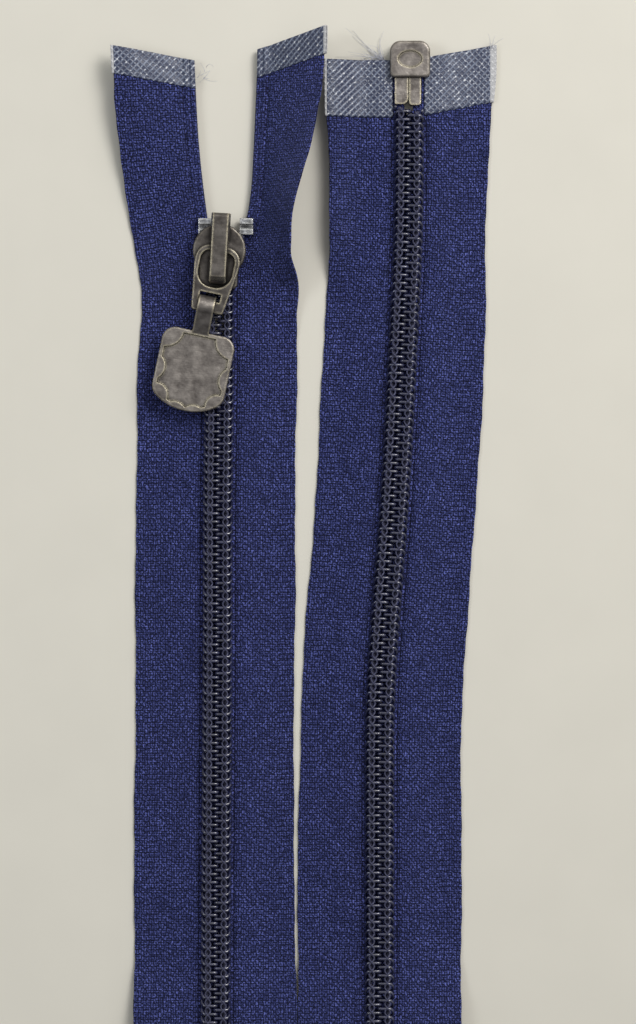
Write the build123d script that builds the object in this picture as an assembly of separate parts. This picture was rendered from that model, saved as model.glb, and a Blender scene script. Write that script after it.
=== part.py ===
"""Open-end coil zip, closed and laid double: both ends at the top, folded under itself at the bottom.

Local names: t is the distance across the zip from the chain's centre line, negative on the outer
tape and positive on the inner tape. h is the height above the back of the tape.
"""
from build123d import *
import math
import os

# Driving dimensions, in millimetres and degrees

# Tape, coil and thread
tape_gap = 1.7              # between the two tapes' chain edges
tape_width = 14.95          # chain edge to selvedge
band_width = 3.65           # dense band beside the chain, chain edge to margin
band_thick = 0.5
margin_thick = 0.45
coil_width = 1.95
coil_height = 1.9
cord_width = 0.9
cord_thick = 0.6
cord_inset = 0.55           # from the coil's inner face to the core cord
thread_width = 0.6
thread_thick = 0.06
thread_inset = 1.1          # from the coil's inner face to the stitch row

# How the zip lies
run_gap = 0.1               # between the two runs' selvedges where they abut
fold_gap = 0.6              # between the backs of the tape at the fold
fold_y = -118.5             # centre line of the crossing strip
ramp_clear = 1.7            # from the crossing strip's edge to the end of the ramps
ramp_length = 18.0
run_straight_y = -50.0      # the right run is straight below this
run_turn = 2.9
run_turn_radius = 700.0
run_slant_length = 57.0
leaf_inset = 0.9            # the tapes part this far below the slider's rear end
left_leaf_turns = [(0.0, 8.0, 60.0), (8.0, -5.5, 150.0)]
# Right leaf: height above the parting point, inner edge beyond the chain edge, width of its flat
# inner part, tilt of the rest
right_leaf_stations = [
    (0.0, 0.0, 4.65, 0.0),
    (4.0, 0.1, 4.65, 28.0),
    (7.0, 0.75, 4.65, 44.0),
    (11.0, 2.95, 4.0, 57.0),
    (15.0, 4.55, 3.0, 63.0),
    (21.0, 5.35, 2.2, 57.0),
    (29.0, 5.75, 2.2, 45.0),
    (41.5, 6.3, 2.2, 34.0),
    (47.0, 6.4, 2.2, 32.0),
]
coil_above_slider = 3.3     # top of the coils above the slider's turning point
left_leaf_length = 46.3     # along Y from the parting point
left_leaf_end_slope = -0.15
tape_in_box = 3.4
outer_end_slope = -0.2      # the outer tape's bottom end is cut on the slant
coil_pin_gap = 0.3          # between the coils and the longer pin

# End films
film_thick = 0.1
top_film_length = 5.4
bottom_film_length = 11.0

# Top stops
stop_length = 3.1
stop_width = 2.6
stop_under = 0.08           # above the slider's lower plate
stop_over = 0.6             # below the slider's upper plate
stop_gap = 0.1              # behind the end of the coil
stop_groove = 0.9
stop_groove_depth = 0.8

# Retainer box and pins
box_length = 7.0
box_corner = 2.0
box_mouth_corner = 0.8
box_edge_round = 0.45
box_bottom_y = 83.5
box_wall = 1.9              # end wall beyond the pins
box_pin_wall = 0.925        # side wall next to the box pin
insertion_pin_wall = 1.725  # side wall next to the insertion pin
box_face_wall = 0.8         # over the pins
pin_under = 0.8             # from the tape's back down to the pins' back
pin_over = 1.1              # from the band up to the pins' face
box_pin_corner = 1.2
insertion_pin_corner = 0.6
envelope_clearance = 0.1    # between the tapes and the box
box_pin_width = 2.6
insertion_pin_width = 2.3
pin_gap = 0.15
box_pin_length = 5.1        # out of the box
insertion_pin_length = 5.3
pin_clearance = 0.05
oval_length = 4.6
oval_width = 3.2
oval_depth = 0.25

# Slider body
slider_y = 49.9             # turning point of the slider on the chain line
slider_lean = 3.2
crown_reach = 1.3           # the crown's radius beyond the tail's half width
crown_offset = 0.3
body_rear = 7.0
body_tail_corner = 1.0
body_neck_round = 1.2
plate_thick = 0.9
plate_inset = 0.2           # the lower plate's crown inside the upper one's
plate_round = 0.3
crown_thick = 1.0
crown_round = 0.4
plate_gap = 0.3             # between the lower plate and the tapes
coil_gap = 0.3              # between the coils and the upper plate
channel_gap = 0.6           # between the coils and the flanges
flange_wall = 0.4
flange_drop_gap = 0.15      # between the upper flanges and the tape
flare_start = -2.5          # the channel widens from here
flare_end = 0.8             # to here
flare_reach = 0.6           # beyond the crown
wedge_gap = 0.25            # between the wedge and each tape
wedge_tail = 0.3            # the wedge's stations along the slider
wedge_shoulder = 2.2
wedge_full = 3.6
wedge_head = 4.6

# Bridge cap, lock
cap_half_width = 1.85
cap_top_half_width = 1.5
cap_front = 7.3
cap_front_drop = 0.8        # the cap's nose reaches down over the crown's edge
cap_front_reach = 2.0       # length of that nose
cap_front_round = 0.8
cap_rear_shoulder = 1.5     # the rear of the top slopes down over this length
cap_rear_post = 1.2         # height of the rear post's straight part
cap_wall = 0.45
cap_rear_corner = 1.3
cap_straight = 0.6          # the sides taper above this
cap_cavity_half_width = 1.1
cap_rear_wall = 1.1
cap_cavity_front = 4.9
lock_room = 1.15            # height of the space for the lock over the crossbar
window_half_length = 1.3
pawl_half_width = 0.8
pawl_arm_thick = 0.4
pawl_tip_half_width = 0.25
pawl_reach = 0.3            # the tip drops this far between the coils' tops
pawl_leg_rear = -4.6
pawl_leg_length = 0.7
pawl_leg_lift = 0.5         # the wide part of the leg stays this far over the crown
pawl_hook_front = 4.2
pawl_hook_length = 0.6
pawl_hook_lift = 0.1
pawl_slot_clearance = 0.2
spring_side_gap = 0.2
spring_end_gap = 0.01
spring_thick = 0.12
spring_rise = 0.1

# Pull link and tab
pull_lean = 12.0
link_x = 0.2
link_rise = 0.5             # hinge line above the slider's turning point, along Y
link_gap = 0.3              # round the crossbar under the bridge
link_thick = 1.1
link_half_width = 4.3
link_end_half_width = 3.05
link_bar = 1.0
link_shoulder = 2.8
link_hole_width = 6.7
link_hole_length = 7.1
link_cross_bar = 1.05       # between the eye and the slot
link_end_bar = 2.2
link_end_corner = 0.6
link_eye_shoulder = 1.8
link_eye_round = 3.0
link_edge_round = 0.2
link_bridge_gap = 0.7       # between the eye's lower end and the bridge
slot_side_gap = 0.45        # beside the tab's neck
slot_room = 0.8             # beyond the tab's ring
tab_clearance = 0.05
tab_ring_wall = 0.75
tab_neck_width = 3.2
tab_neck_length = 5.0
tab_width = 14.1
tab_shift = 0.35            # the tab hangs to one side of its slot
tab_length = 15.5
tab_bottom_rise = 2.8
tab_corner = 2.5
tab_lower_corner = 3.0
tab_thick = 1.5
tab_rim = 0.8
tab_recess = 0.3
# Bites out of the panel's outline: in from the plate's side, down from its shoulders, radius
tab_scallops = [(0.5, 0.7, 3.4), (-0.9, 8.2, 2.7), (1.1, 13.5, 2.3), (5.2, 16.5, 2.5)]
tab_edge_round = 0.3
neck_lap = 0.5              # the neck runs on into the plate

# Derived places
t_edge = tape_gap / 2
t_coil = t_edge + coil_width
t_band = t_edge + band_width
t_out = t_edge + tape_width
run_pitch = 2 * t_out + run_gap
coil_top_h = band_thick + coil_height
tape_lift = plate_thick + plate_gap
ramp_end_y = fold_y + t_out + ramp_clear
ramp_start_y = ramp_end_y + ramp_length
leaf_y = slider_y - body_rear - leaf_inset
coil_top_y = slider_y + coil_above_slider
left_leaf_end_y = leaf_y + left_leaf_length
right_run_end_y = box_bottom_y + tape_in_box
coil_bottom_y = box_bottom_y - insertion_pin_length - coil_pin_gap
channel_bottom = plate_thick
channel_top = tape_lift + coil_top_h + coil_gap
channel_half_width = t_coil + channel_gap
body_half_width = channel_half_width + flange_wall
crown_radius = body_half_width + crown_reach
wedge_half_width = t_edge - wedge_gap
crown_top = channel_top + crown_thick
stop_bottom = plate_thick + stop_under
stop_top = channel_top - stop_over
pin_bottom = tape_lift - pin_under
pin_height = pin_under + band_thick + pin_over
box_height = pin_bottom + pin_height + box_face_wall
box_pin_x = -pin_gap / 2 - box_pin_width
insertion_pin_x = pin_gap / 2 + insertion_pin_width
box_width = insertion_pin_x - box_pin_x + box_pin_wall + insertion_pin_wall
box_shift = (insertion_pin_x + insertion_pin_wall + box_pin_x - box_pin_wall) / 2
link_y = slider_y + link_rise
link_z = crown_top + link_gap + link_thick / 2
link_slot_width = tab_neck_width + 2 * slot_side_gap
link_slot_length = tab_ring_wall + slot_room
link_length = link_bar / 2 + link_hole_length + link_cross_bar + link_slot_length + link_end_bar
window_top = link_z + link_thick / 2 + link_gap
cap_top = window_top + lock_room + cap_wall
cap_rear = link_rise - link_bar / 2 - link_hole_length + link_bridge_gap
cap_cavity_rear = cap_rear + cap_rear_wall
pawl_tip_z = tape_lift + coil_top_h - pawl_reach
cord_low_h = band_thick + (coil_height - cord_thick) / 2
fold_back_z = coil_top_h
fold_run_z = fold_back_z + fold_gap
fold_axis_z = fold_back_z + fold_gap / 2
run_turns = [
    (run_straight_y - ramp_start_y, -run_turn, run_turn_radius),
    (run_slant_length, run_turn, run_turn_radius),
]
run_shift = (
    2 * run_turn_radius * (1 - math.cos(math.radians(run_turn)))
    + run_slant_length * math.sin(math.radians(run_turn))
)
run_top_x = run_pitch + run_shift
small = 1e-6
UP = (0, 0, 1)


def prism(points, low, high):
    """A polygon in plan, carried up from one height to another."""
    face = make_face(Polyline(*[(x, y) for x, y in points], close=True))
    return Pos(0, 0, low) * extrude(face, amount=high - low, dir=UP)


def path_edges(start, turns, offset, end_y):
    """A path that starts towards +Y, kept a fixed distance to its right, as runs and tangent arcs."""
    x, y = start[0] + offset, start[1]
    heading = 90.0
    edges = []
    for length, turn, radius in turns:
        along = (math.cos(math.radians(heading)), math.sin(math.radians(heading)))
        length = min(length, (end_y - y) / along[1])
        if length > 0:
            end = (x + length * along[0], y + length * along[1])
            edges.append(Line((x, y), end))
            x, y = end
        if y >= end_y:
            return edges
        side = math.copysign(1, turn)
        own_radius = radius + side * offset
        arc_end_y = y + side * own_radius * (along[0] - math.cos(math.radians(heading + turn)))
        if arc_end_y > end_y:
            turn = math.degrees(math.acos(along[0] - side * (end_y - y) / own_radius)) - heading
        arc = JernArc((x, y), along, own_radius, turn)
        edges.append(arc)
        if arc_end_y > end_y:
            return edges
        x, y = (arc @ 1).X, (arc @ 1).Y
        heading += turn
    rise = end_y - y
    edges.append(Line((x, y), (x + rise / math.tan(math.radians(heading)), end_y)))
    return edges


def path_end(start, turns, offset, end_y):
    """Where that path meets a height along Y."""
    point = path_edges(start, turns, offset, end_y)[-1] @ 1
    return (point.X, point.Y)


def path_plate(start, turns, offsets, ends, low, high):
    """The plate between two offsets of one path."""
    first = path_edges(start, turns, offsets[0], ends[0])
    second = path_edges(start, turns, offsets[1], ends[1])
    closing = [Line(first[-1] @ 1, second[-1] @ 1), Line(first[0] @ 0, second[0] @ 0)]
    face = make_face([*first, *second, *closing])
    return Pos(0, 0, low) * extrude(face, amount=high - low, dir=UP)


def joined(pieces):
    """One solid from pieces that share faces."""
    return pieces[0].fuse(*pieces[1:]).clean()


def fold_side(t0, t1, h0, h1):
    """One run's lower end: the ramp, the flat over the crossing strip and the bend at its crease."""
    low, high = tape_lift, fold_run_z
    ramp = make_face(
        Polyline(
            (t0, ramp_start_y, low + h0),
            (t0, ramp_start_y, low + h1),
            (t0, ramp_end_y, high + h1),
            (t0, ramp_end_y, high + h0),
            close=True,
        )
    )
    flat_points = [(t0, ramp_end_y), (t1, ramp_end_y), (t1, fold_y - t1), (t0, fold_y - t0)]
    crease = Vector(1, -1, 0).normalized()
    bend_plane = Plane(origin=(t0, fold_y - t0, fold_axis_z), x_dir=(-1, -1, 0), z_dir=crease)
    inner, outer = fold_gap / 2 + h0, fold_gap / 2 + h1
    bend = make_face(
        [
            CenterArc((0, 0), inner, -90, 180),
            CenterArc((0, 0), outer, -90, 180),
            Line((0, inner), (0, outer)),
            Line((0, -inner), (0, -outer)),
        ]
    )
    return [
        extrude(ramp, amount=t1 - t0, dir=(1, 0, 0)),
        prism(flat_points, high + h0, high + h1),
        extrude(bend_plane * bend, amount=(t1 - t0) * math.sqrt(2), dir=crease),
    ]


def layer(t0, t1, h0, h1, left_top, right_top):
    """A strip along the whole folded zip, from the left run's top round to the right run's top."""
    left = fold_side(t0, t1, h0, h1)
    right = [mirror(piece, about=Plane.YZ.offset(run_pitch / 2)) for piece in left]
    left_run = prism(
        [(t0, ramp_start_y), (t1, ramp_start_y), (t1, left_top), (t0, left_top)],
        tape_lift + h0,
        tape_lift + h1,
    )
    crossing = prism(
        [(t0, fold_y - t0), (run_pitch - t0, fold_y - t0), (run_pitch - t1, fold_y - t1), (t1, fold_y - t1)],
        fold_back_z - h1,
        fold_back_z - h0,
    )
    right_run = path_plate(
        (run_pitch, ramp_start_y),
        run_turns,
        (-t0, -t1),
        right_top,
        tape_lift + h0,
        tape_lift + h1,
    )
    return [left_run, *left, crossing, *right, right_run]


def left_leaf(t0, t1, h0, h1, ends):
    """The outer tape above the parting point, lying flat and swung to the left."""
    return path_plate((0, leaf_y), left_leaf_turns, (t0, t1), ends, tape_lift + h0, tape_lift + h1)


def leaf_point(station, t, h):
    """A point of the right leaf's bent cross-section."""
    rise, inner, flat, tilt = station
    y = leaf_y + rise
    angle = math.radians(tilt)
    past_bend = t - t_edge - flat
    if past_bend < -small:
        return (t + inner, y, tape_lift + h)
    if past_bend < small:
        return (t + inner - h * math.tan(angle / 2), y, tape_lift + h)
    x = t_edge + inner + flat + past_bend * math.cos(angle) - h * math.sin(angle)
    z = tape_lift + past_bend * math.sin(angle) + h * math.cos(angle)
    return (x, y, z)


def station_at(rise):
    """The right leaf's cross-section at any height above the parting point."""
    for low, high in zip(right_leaf_stations, right_leaf_stations[1:]):
        if low[0] <= rise <= high[0]:
            share = (rise - low[0]) / (high[0] - low[0])
            return tuple(a + share * (b - a) for a, b in zip(low, high))
    return right_leaf_stations[-1]


def right_leaf(t0, t1, h0, h1, low, high):
    """The inner tape between two heights above the parting point, ruled between bent cross-sections."""
    inside = [s for s in right_leaf_stations if low < s[0] < high]
    sections = []
    for station in [station_at(low), *inside, station_at(high)]:
        bend_t = t_edge + station[2]
        stops = [t0, bend_t, t1] if t1 > t_band else [t0, t1]
        lower = [leaf_point(station, t, h0) for t in stops]
        upper = [leaf_point(station, t, h1) for t in reversed(stops)]
        sections.append(make_face(Polyline(*lower, *upper, close=True)))
    return loft(sections, ruled=True)


def run_end(t, slope):
    """Height along Y of the right run's cut end."""
    return right_run_end_y + slope * (t - math.copysign(t_edge, t))


def box_envelope():
    """The retainer box's space, with clearance, that the tapes and films stay out of."""
    x = run_top_x + box_shift
    grow = 2 * envelope_clearance
    return Pos(x, box_bottom_y + box_length / 2, box_height / 2) * Box(
        box_width + grow, box_length + grow, box_height * 2
    )


def outer_tape():
    """The tape on the outside of both runs."""
    ends = [run_end(-t, outer_end_slope) for t in (t_out, t_band, t_edge)]
    film_ends = [end - bottom_film_length for end in ends]
    leaf_ends = [left_leaf_end_y + left_leaf_end_slope * -t for t in (t_out, t_band, t_edge)]
    leaf_film_ends = [end + -top_film_length for end in leaf_ends]
    margin = layer(-t_out, -t_band, 0, margin_thick, leaf_y, film_ends[:2])
    band = layer(-t_band, -t_edge, 0, band_thick, leaf_y, ends[1:])
    leaf_margin = left_leaf(-t_out, -t_band, 0, margin_thick, leaf_film_ends[:2])
    leaf_band = left_leaf(-t_band, -t_edge, 0, band_thick, leaf_ends[1:])
    stiff_low = end_patch((run_pitch, ramp_start_y), run_turns, (t_out, t_band), ends[:2],
                          bottom_film_length, (0, band_thick))
    stiff_top = end_patch((0, leaf_y), left_leaf_turns, (-t_out, -t_band), leaf_ends[:2],
                          top_film_length, (0, band_thick))
    return joined([*margin, *band, leaf_margin, leaf_band, stiff_low, stiff_top]) - box_envelope()


def inner_tape():
    """The tape on the inside of both runs, with its upper leaf twisted up off the table."""
    ends = [run_end(t, 0.0) for t in (t_edge, t_band, t_out)]
    film_ends = [end - bottom_film_length for end in ends]
    margin = layer(t_band, t_out, 0, margin_thick, leaf_y, film_ends[1:])
    band = layer(t_edge, t_band, 0, band_thick, leaf_y, ends[:2])
    stiff_low = end_patch((run_pitch, ramp_start_y), run_turns, (-t_band, -t_out), ends[1:],
                          bottom_film_length, (0, band_thick))
    leaf = right_leaf(t_edge, t_out, 0, margin_thick, 0, right_leaf_stations[-1][0])
    runs = joined([*margin, *band, stiff_low]) - box_envelope()
    return Compound([runs.solid(), leaf.solid()])


def end_patch(start, turns, offsets, ends, length, heights):
    """The last stretch of the plate between two offsets of a path."""
    low, high = tape_lift + heights[0], tape_lift + heights[1]
    whole = path_plate(start, turns, offsets, ends, low, high)
    rest = path_plate(start, turns, offsets, [end - length for end in ends], low, high)
    return whole - rest


def coil_strip(side, near, width, h0, h1):
    """The lengths of a strip that follows the coil, from its top end on the leaf to the pins."""
    far = near + width
    t0, t1 = (near, far) if side > 0 else (-far, -near)
    run = layer(t0, t1, h0, h1, leaf_y, (coil_bottom_y, coil_bottom_y))
    if side > 0:
        leaf = right_leaf(t0, t1, h0, h1, 0, coil_top_y - leaf_y)
    else:
        leaf = left_leaf(t0, t1, h0, h1, (coil_top_y, coil_top_y))
    return [*run, leaf]


def core_cord(side):
    """The filler cord inside a coil."""
    return joined(coil_strip(side, t_edge + cord_inset, cord_width, cord_low_h, cord_low_h + cord_thick))


def stitching(side):
    """The thread that sews a coil to its tape: a row over the coil and a row on the tape's back."""
    top = coil_strip(side, t_edge + thread_inset, thread_width, coil_top_h - thread_thick, coil_top_h)
    back = coil_strip(side, t_edge + cord_inset, cord_width, -thread_thick, 0)
    return Compound([joined(top).solid(), joined(back).solid()])


def coil(side):
    """One half of the chain: the coil's lower legs on the tape and its upper legs over the cord."""
    lower = coil_strip(side, t_edge, coil_width, band_thick, cord_low_h)
    upper = coil_strip(side, t_edge, coil_width, cord_low_h + cord_thick, coil_top_h - thread_thick)
    return Compound([joined(lower).solid(), joined(upper).solid()])


def film_pair(start, turns, offsets, ends, length):
    """The clear reinforcement on both faces of a tape end."""
    front = end_patch(start, turns, offsets, ends, length, (band_thick, band_thick + film_thick))
    back = end_patch(start, turns, offsets, ends, length, (-film_thick, 0))
    return [front, back]


def bottom_film(side):
    """The film at the end of the right run, cut round the retainer box."""
    start = (run_pitch, ramp_start_y)
    near = pin_gap + box_pin_width + pin_gap
    slope = 0.0 if side > 0 else outer_end_slope
    ends = [run_end(side * t, slope) for t in (near, t_out)]
    sheets = film_pair(start, run_turns, (-side * near, -side * t_out), ends, bottom_film_length)
    return Compound([(sheet - box_envelope()).solid() for sheet in sheets])


def top_film_left():
    """The film at the top of the outer tape."""
    offsets = (-t_out, -t_edge)
    ends = [left_leaf_end_y + left_leaf_end_slope * t for t in offsets]
    sheets = film_pair((0, leaf_y), left_leaf_turns, offsets, ends, top_film_length)
    return Compound([sheet.solid() for sheet in sheets])


def top_film_right():
    """The film at the top of the inner tape, bent with it."""
    end = right_leaf_stations[-1][0]
    front = right_leaf(t_edge, t_out, margin_thick, margin_thick + film_thick, end - top_film_length, end)
    back = right_leaf(t_edge, t_out, -film_thick, 0, end - top_film_length, end)
    return Compound([front.solid(), back.solid()])


def top_stop(side, tape):
    """A metal clip closed over the tape's edge above the coil, grooved so that it shows two bars."""
    y = coil_top_y + stop_gap
    if side > 0:
        edge = t_edge + station_at(y + stop_length / 2 - leaf_y)[1]
    else:
        edge = path_end((0, leaf_y), left_leaf_turns, -t_edge, y + stop_length / 2)[0]
    x = edge + side * stop_width / 4
    middle_y = y + stop_length / 2
    block = Pos(x, middle_y, (stop_bottom + stop_top) / 2) * Box(stop_width, stop_length, stop_top - stop_bottom)
    groove = Pos(x, middle_y, stop_top) * Box(stop_width * 2, stop_groove, 2 * stop_groove_depth)
    clip = block - groove - tape
    return Compound(clip.solids())


def pin_block(x0, x1, length):
    """A pin's bar, from below the box to the box's end wall."""
    y0 = box_bottom_y - length
    y1 = box_bottom_y + box_length - box_wall
    return Pos((x0 + x1) / 2, (y0 + y1) / 2, pin_bottom + pin_height / 2) * Box(x1 - x0, y1 - y0, pin_height)


def box_pin(tape):
    """The fixed pin, clamped on the inner tape's edge and held in the box."""
    block = pin_block(run_top_x + box_pin_x, run_top_x - pin_gap / 2, box_pin_length)
    corner = block.edges().filter_by(Axis.Z).group_by(Axis.Y)[0].sort_by(Axis.X)[-1]
    return fillet(corner, box_pin_corner) - tape


def insertion_pin(tape):
    """The free pin, clamped on the outer tape's edge, that slides into the box."""
    block = pin_block(run_top_x + pin_gap / 2, run_top_x + insertion_pin_x, insertion_pin_length)
    corners = block.edges().filter_by(Axis.Z).group_by(Axis.Y)[0]
    return fillet(corners, insertion_pin_corner) - tape


def retainer_box():
    """The block that holds both pins, with a bare oval panel on its face."""
    x = run_top_x + box_shift
    y = box_bottom_y + box_length / 2
    body = Pos(x, y, box_height / 2) * Box(box_width, box_length, box_height)
    uprights = body.edges().filter_by(Axis.Z).group_by(Axis.Y)
    body = fillet(uprights[-1], box_corner)
    uprights = body.edges().filter_by(Axis.Z).group_by(Axis.Y)
    body = fillet(uprights[0], box_mouth_corner)
    body = fillet(body.faces().sort_by(Axis.Z)[-1].edges(), box_edge_round)
    x0 = run_top_x + box_pin_x
    x1 = run_top_x + insertion_pin_x + pin_clearance
    cavity_length = box_length - box_wall + pin_clearance
    cavity = Pos((x0 + x1) / 2, box_bottom_y + cavity_length / 2, pin_bottom + pin_height / 2) * Box(
        x1 - x0, cavity_length, pin_height + 2 * pin_clearance
    )
    panel = Pos(x, y, box_height - oval_depth) * extrude(Ellipse(oval_length / 2, oval_width / 2), oval_depth * 2)
    return body - cavity - panel


def slider_place():
    """Where the slider sits, leaning a little on the chain."""
    return Pos(0, slider_y, 0) * Rot(0, 0, -slider_lean)


def body_outline(radius, half_width):
    """The slider's plan: a round crown over a straight tail."""
    crown = Pos(0, crown_offset) * Circle(radius)
    tail = Pos(0, (crown_offset - body_rear) / 2) * Rectangle(2 * half_width, body_rear + crown_offset)
    outline = crown + tail
    rear = outline.vertices().group_by(Axis.Y)[0]
    outline = fillet(rear, body_tail_corner)
    neck = [v for v in outline.vertices() if abs(abs(v.X) - half_width) < small and v.Y > -body_rear / 2]
    return fillet(neck, body_neck_round)


def channel_plan():
    """The chain's way through the slider, flaring to the open mouth."""
    flare = crown_radius + flare_reach
    points = [
        (channel_half_width, -body_rear - flare_reach),
        (channel_half_width, flare_start),
        (flare, flare_end),
        (flare, crown_offset + flare),
    ]
    other = [(-x, y) for x, y in reversed(points)]
    return [*points, *other]


def slider_body():
    """Lower plate, wedge, flanges and upper plate in one casting."""
    lower = extrude(body_outline(crown_radius - plate_inset, body_half_width), plate_thick)
    lower = fillet(lower.faces().sort_by(Axis.Z)[0].edges(), plate_round)
    upper = Pos(0, 0, channel_top) * extrude(body_outline(crown_radius, body_half_width), crown_thick)
    upper = fillet(upper.faces().sort_by(Axis.Z)[-1].edges(), crown_round)
    flange_bottom = tape_lift + band_thick + flange_drop_gap
    walls = Pos(0, 0, flange_bottom) * extrude(
        body_outline(crown_radius, body_half_width), channel_top - flange_bottom
    )
    walls -= prism(channel_plan(), channel_bottom, channel_top)
    wedge_points = [
        (0, wedge_tail),
        (wedge_half_width, wedge_shoulder),
        (wedge_half_width, wedge_full),
        (wedge_half_width / 2, wedge_head),
        (-wedge_half_width / 2, wedge_head),
        (-wedge_half_width, wedge_full),
        (-wedge_half_width, wedge_shoulder),
    ]
    wedge = prism(wedge_points, channel_bottom, channel_top)
    slot_length = pawl_leg_length + 2 * pawl_slot_clearance
    pawl_slot = Pos(0, pawl_leg_rear + pawl_leg_length / 2, channel_top) * Box(
        2 * (pawl_tip_half_width + pawl_slot_clearance), slot_length, 4 * crown_thick
    )
    body = joined([upper, lower, wedge, *walls.solids()])
    return slider_place() * (body - pawl_slot)


def bridge_cap():
    """The cover that bridges the pull's crossbar and houses the lock."""
    base, nose_base = crown_top, crown_top - cap_front_drop
    nose_y = cap_front - cap_front_reach
    r = cap_front_round
    arc_share = r * (1 - math.sqrt(0.5))
    shoulder_y = cap_rear + cap_rear_shoulder
    post_top = base + cap_rear_post
    side = make_face(
        [
            Line((0, cap_rear, base), (0, nose_y, base)),
            Line((0, nose_y, base), (0, nose_y, nose_base)),
            Line((0, nose_y, nose_base), (0, cap_front, nose_base)),
            Line((0, cap_front, nose_base), (0, cap_front, cap_top - r)),
            ThreePointArc((0, cap_front, cap_top - r), (0, cap_front - arc_share, cap_top - arc_share),
                          (0, cap_front - r, cap_top)),
            Line((0, cap_front - r, cap_top), (0, shoulder_y, cap_top)),
            ThreePointArc((0, shoulder_y, cap_top), (0, cap_rear + cap_rear_shoulder / 3, cap_top - r),
                          (0, cap_rear, post_top)),
            Line((0, cap_rear, post_top), (0, cap_rear, base)),
        ]
    )
    cap = extrude(side, amount=cap_half_width, dir=(1, 0, 0), both=True)
    reach = cap_front - cap_rear
    plan = Pos(0, cap_rear + reach / 2) * Rectangle(2 * cap_half_width, reach)
    plan = fillet(plan.vertices().group_by(Axis.Y)[0], cap_rear_corner)
    cap = cap & extrude(plan, 2 * cap_top)
    middle_z = base + cap_straight
    for sign in (1, -1):
        taper = make_face(
            Polyline(
                (sign * cap_half_width, cap_rear - cap_wall, middle_z),
                (sign * cap_top_half_width, cap_rear - cap_wall, cap_top),
                (sign * cap_top_half_width, cap_rear - cap_wall, cap_top + cap_wall),
                (sign * cap_half_width * 2, cap_rear - cap_wall, cap_top + cap_wall),
                (sign * cap_half_width * 2, cap_rear - cap_wall, middle_z),
                close=True,
            )
        )
        cap -= extrude(taper, amount=reach + 2 * cap_wall, dir=(0, 1, 0))
    cavity_length = cap_cavity_front - cap_cavity_rear
    cavity_top = cap_top - cap_wall
    cavity = Pos(0, (cap_cavity_front + cap_cavity_rear) / 2, (base + cavity_top) / 2) * Box(
        2 * cap_cavity_half_width, cavity_length, cavity_top - base
    )
    window = Pos(0, link_y - slider_y, (base + window_top) / 2) * Box(
        6 * cap_half_width, 2 * window_half_length, window_top - base
    )
    return slider_place() * (cap - cavity - window)


def locking_pawl():
    """The stamped lock: an arm over the crossbar and a tip that drops between the coils."""
    arm_bottom = window_top
    base = crown_top
    leg_bottom, hook_bottom = base + pawl_leg_lift, base + pawl_hook_lift
    rear = pawl_leg_rear
    arm_length = pawl_hook_front - rear
    arm = Pos(0, rear + arm_length / 2, arm_bottom + pawl_arm_thick / 2) * Box(
        2 * pawl_half_width, arm_length, pawl_arm_thick
    )
    leg = Pos(0, rear + pawl_leg_length / 2, (leg_bottom + arm_bottom) / 2) * Box(
        2 * pawl_half_width, pawl_leg_length, arm_bottom - leg_bottom
    )
    tip = Pos(0, rear + pawl_leg_length / 2, (pawl_tip_z + leg_bottom) / 2) * Box(
        2 * pawl_tip_half_width, pawl_leg_length, leg_bottom - pawl_tip_z
    )
    hook = Pos(0, pawl_hook_front - pawl_hook_length / 2, (hook_bottom + arm_bottom) / 2) * Box(
        2 * pawl_half_width, pawl_hook_length, arm_bottom - hook_bottom
    )
    return slider_place() * joined([arm, leg, tip, hook])


def lock_spring():
    """The leaf spring above the pawl, bowed up between the cap's end walls."""
    low = cap_top - cap_wall - spring_thick - spring_rise
    rear, front = cap_cavity_rear, cap_cavity_front
    middle = (rear + front) / 2
    strip = make_face(
        [
            ThreePointArc((0, rear, low), (0, middle, low + spring_rise), (0, front, low)),
            ThreePointArc(
                (0, rear, low + spring_thick),
                (0, middle, low + spring_rise + spring_thick - spring_end_gap),
                (0, front, low + spring_thick),
            ),
            Line((0, rear, low), (0, rear, low + spring_thick)),
            Line((0, front, low), (0, front, low + spring_thick)),
        ]
    )
    leaf = extrude(strip, amount=cap_cavity_half_width - spring_side_gap, dir=(1, 0, 0), both=True)
    return slider_place() * leaf


def pull_place():
    """The pull's hinge under the bridge, with the pull hanging to one side."""
    return Pos(link_x, link_y, link_z) * Rot(0, 0, -pull_lean)


def pull_link():
    """The flat link: a wide eye round the bridge and a slot for the tab."""
    half_bar = link_bar / 2
    outline = make_face(
        Polyline(
            (-link_half_width, half_bar),
            (link_half_width, half_bar),
            (link_half_width, -link_hole_length / 2),
            (link_end_half_width, -link_length),
            (-link_end_half_width, -link_length),
            (-link_half_width, -link_hole_length / 2),
            close=True,
        )
    )
    outline = fillet(outline.vertices().group_by(Axis.Y)[-1], link_shoulder)
    outline = fillet(outline.vertices().group_by(Axis.Y)[0], link_end_corner)
    eye = Pos(0, -half_bar - link_hole_length / 2) * Rectangle(link_hole_width, link_hole_length)
    eye = fillet(eye.vertices().group_by(Axis.Y)[-1], link_eye_shoulder)
    eye = fillet(eye.vertices().group_by(Axis.Y)[0], link_eye_round)
    slot_middle = link_length - link_end_bar - link_slot_length / 2
    slot = Pos(0, -slot_middle) * Rectangle(link_slot_width, link_slot_length)
    link = Pos(0, 0, -link_thick / 2) * extrude(outline - eye - slot, link_thick)
    top_edges = link.faces().sort_by(Axis.Z)[-1].outer_wire().edges()
    return pull_place() * fillet(top_edges, link_edge_round)


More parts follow.
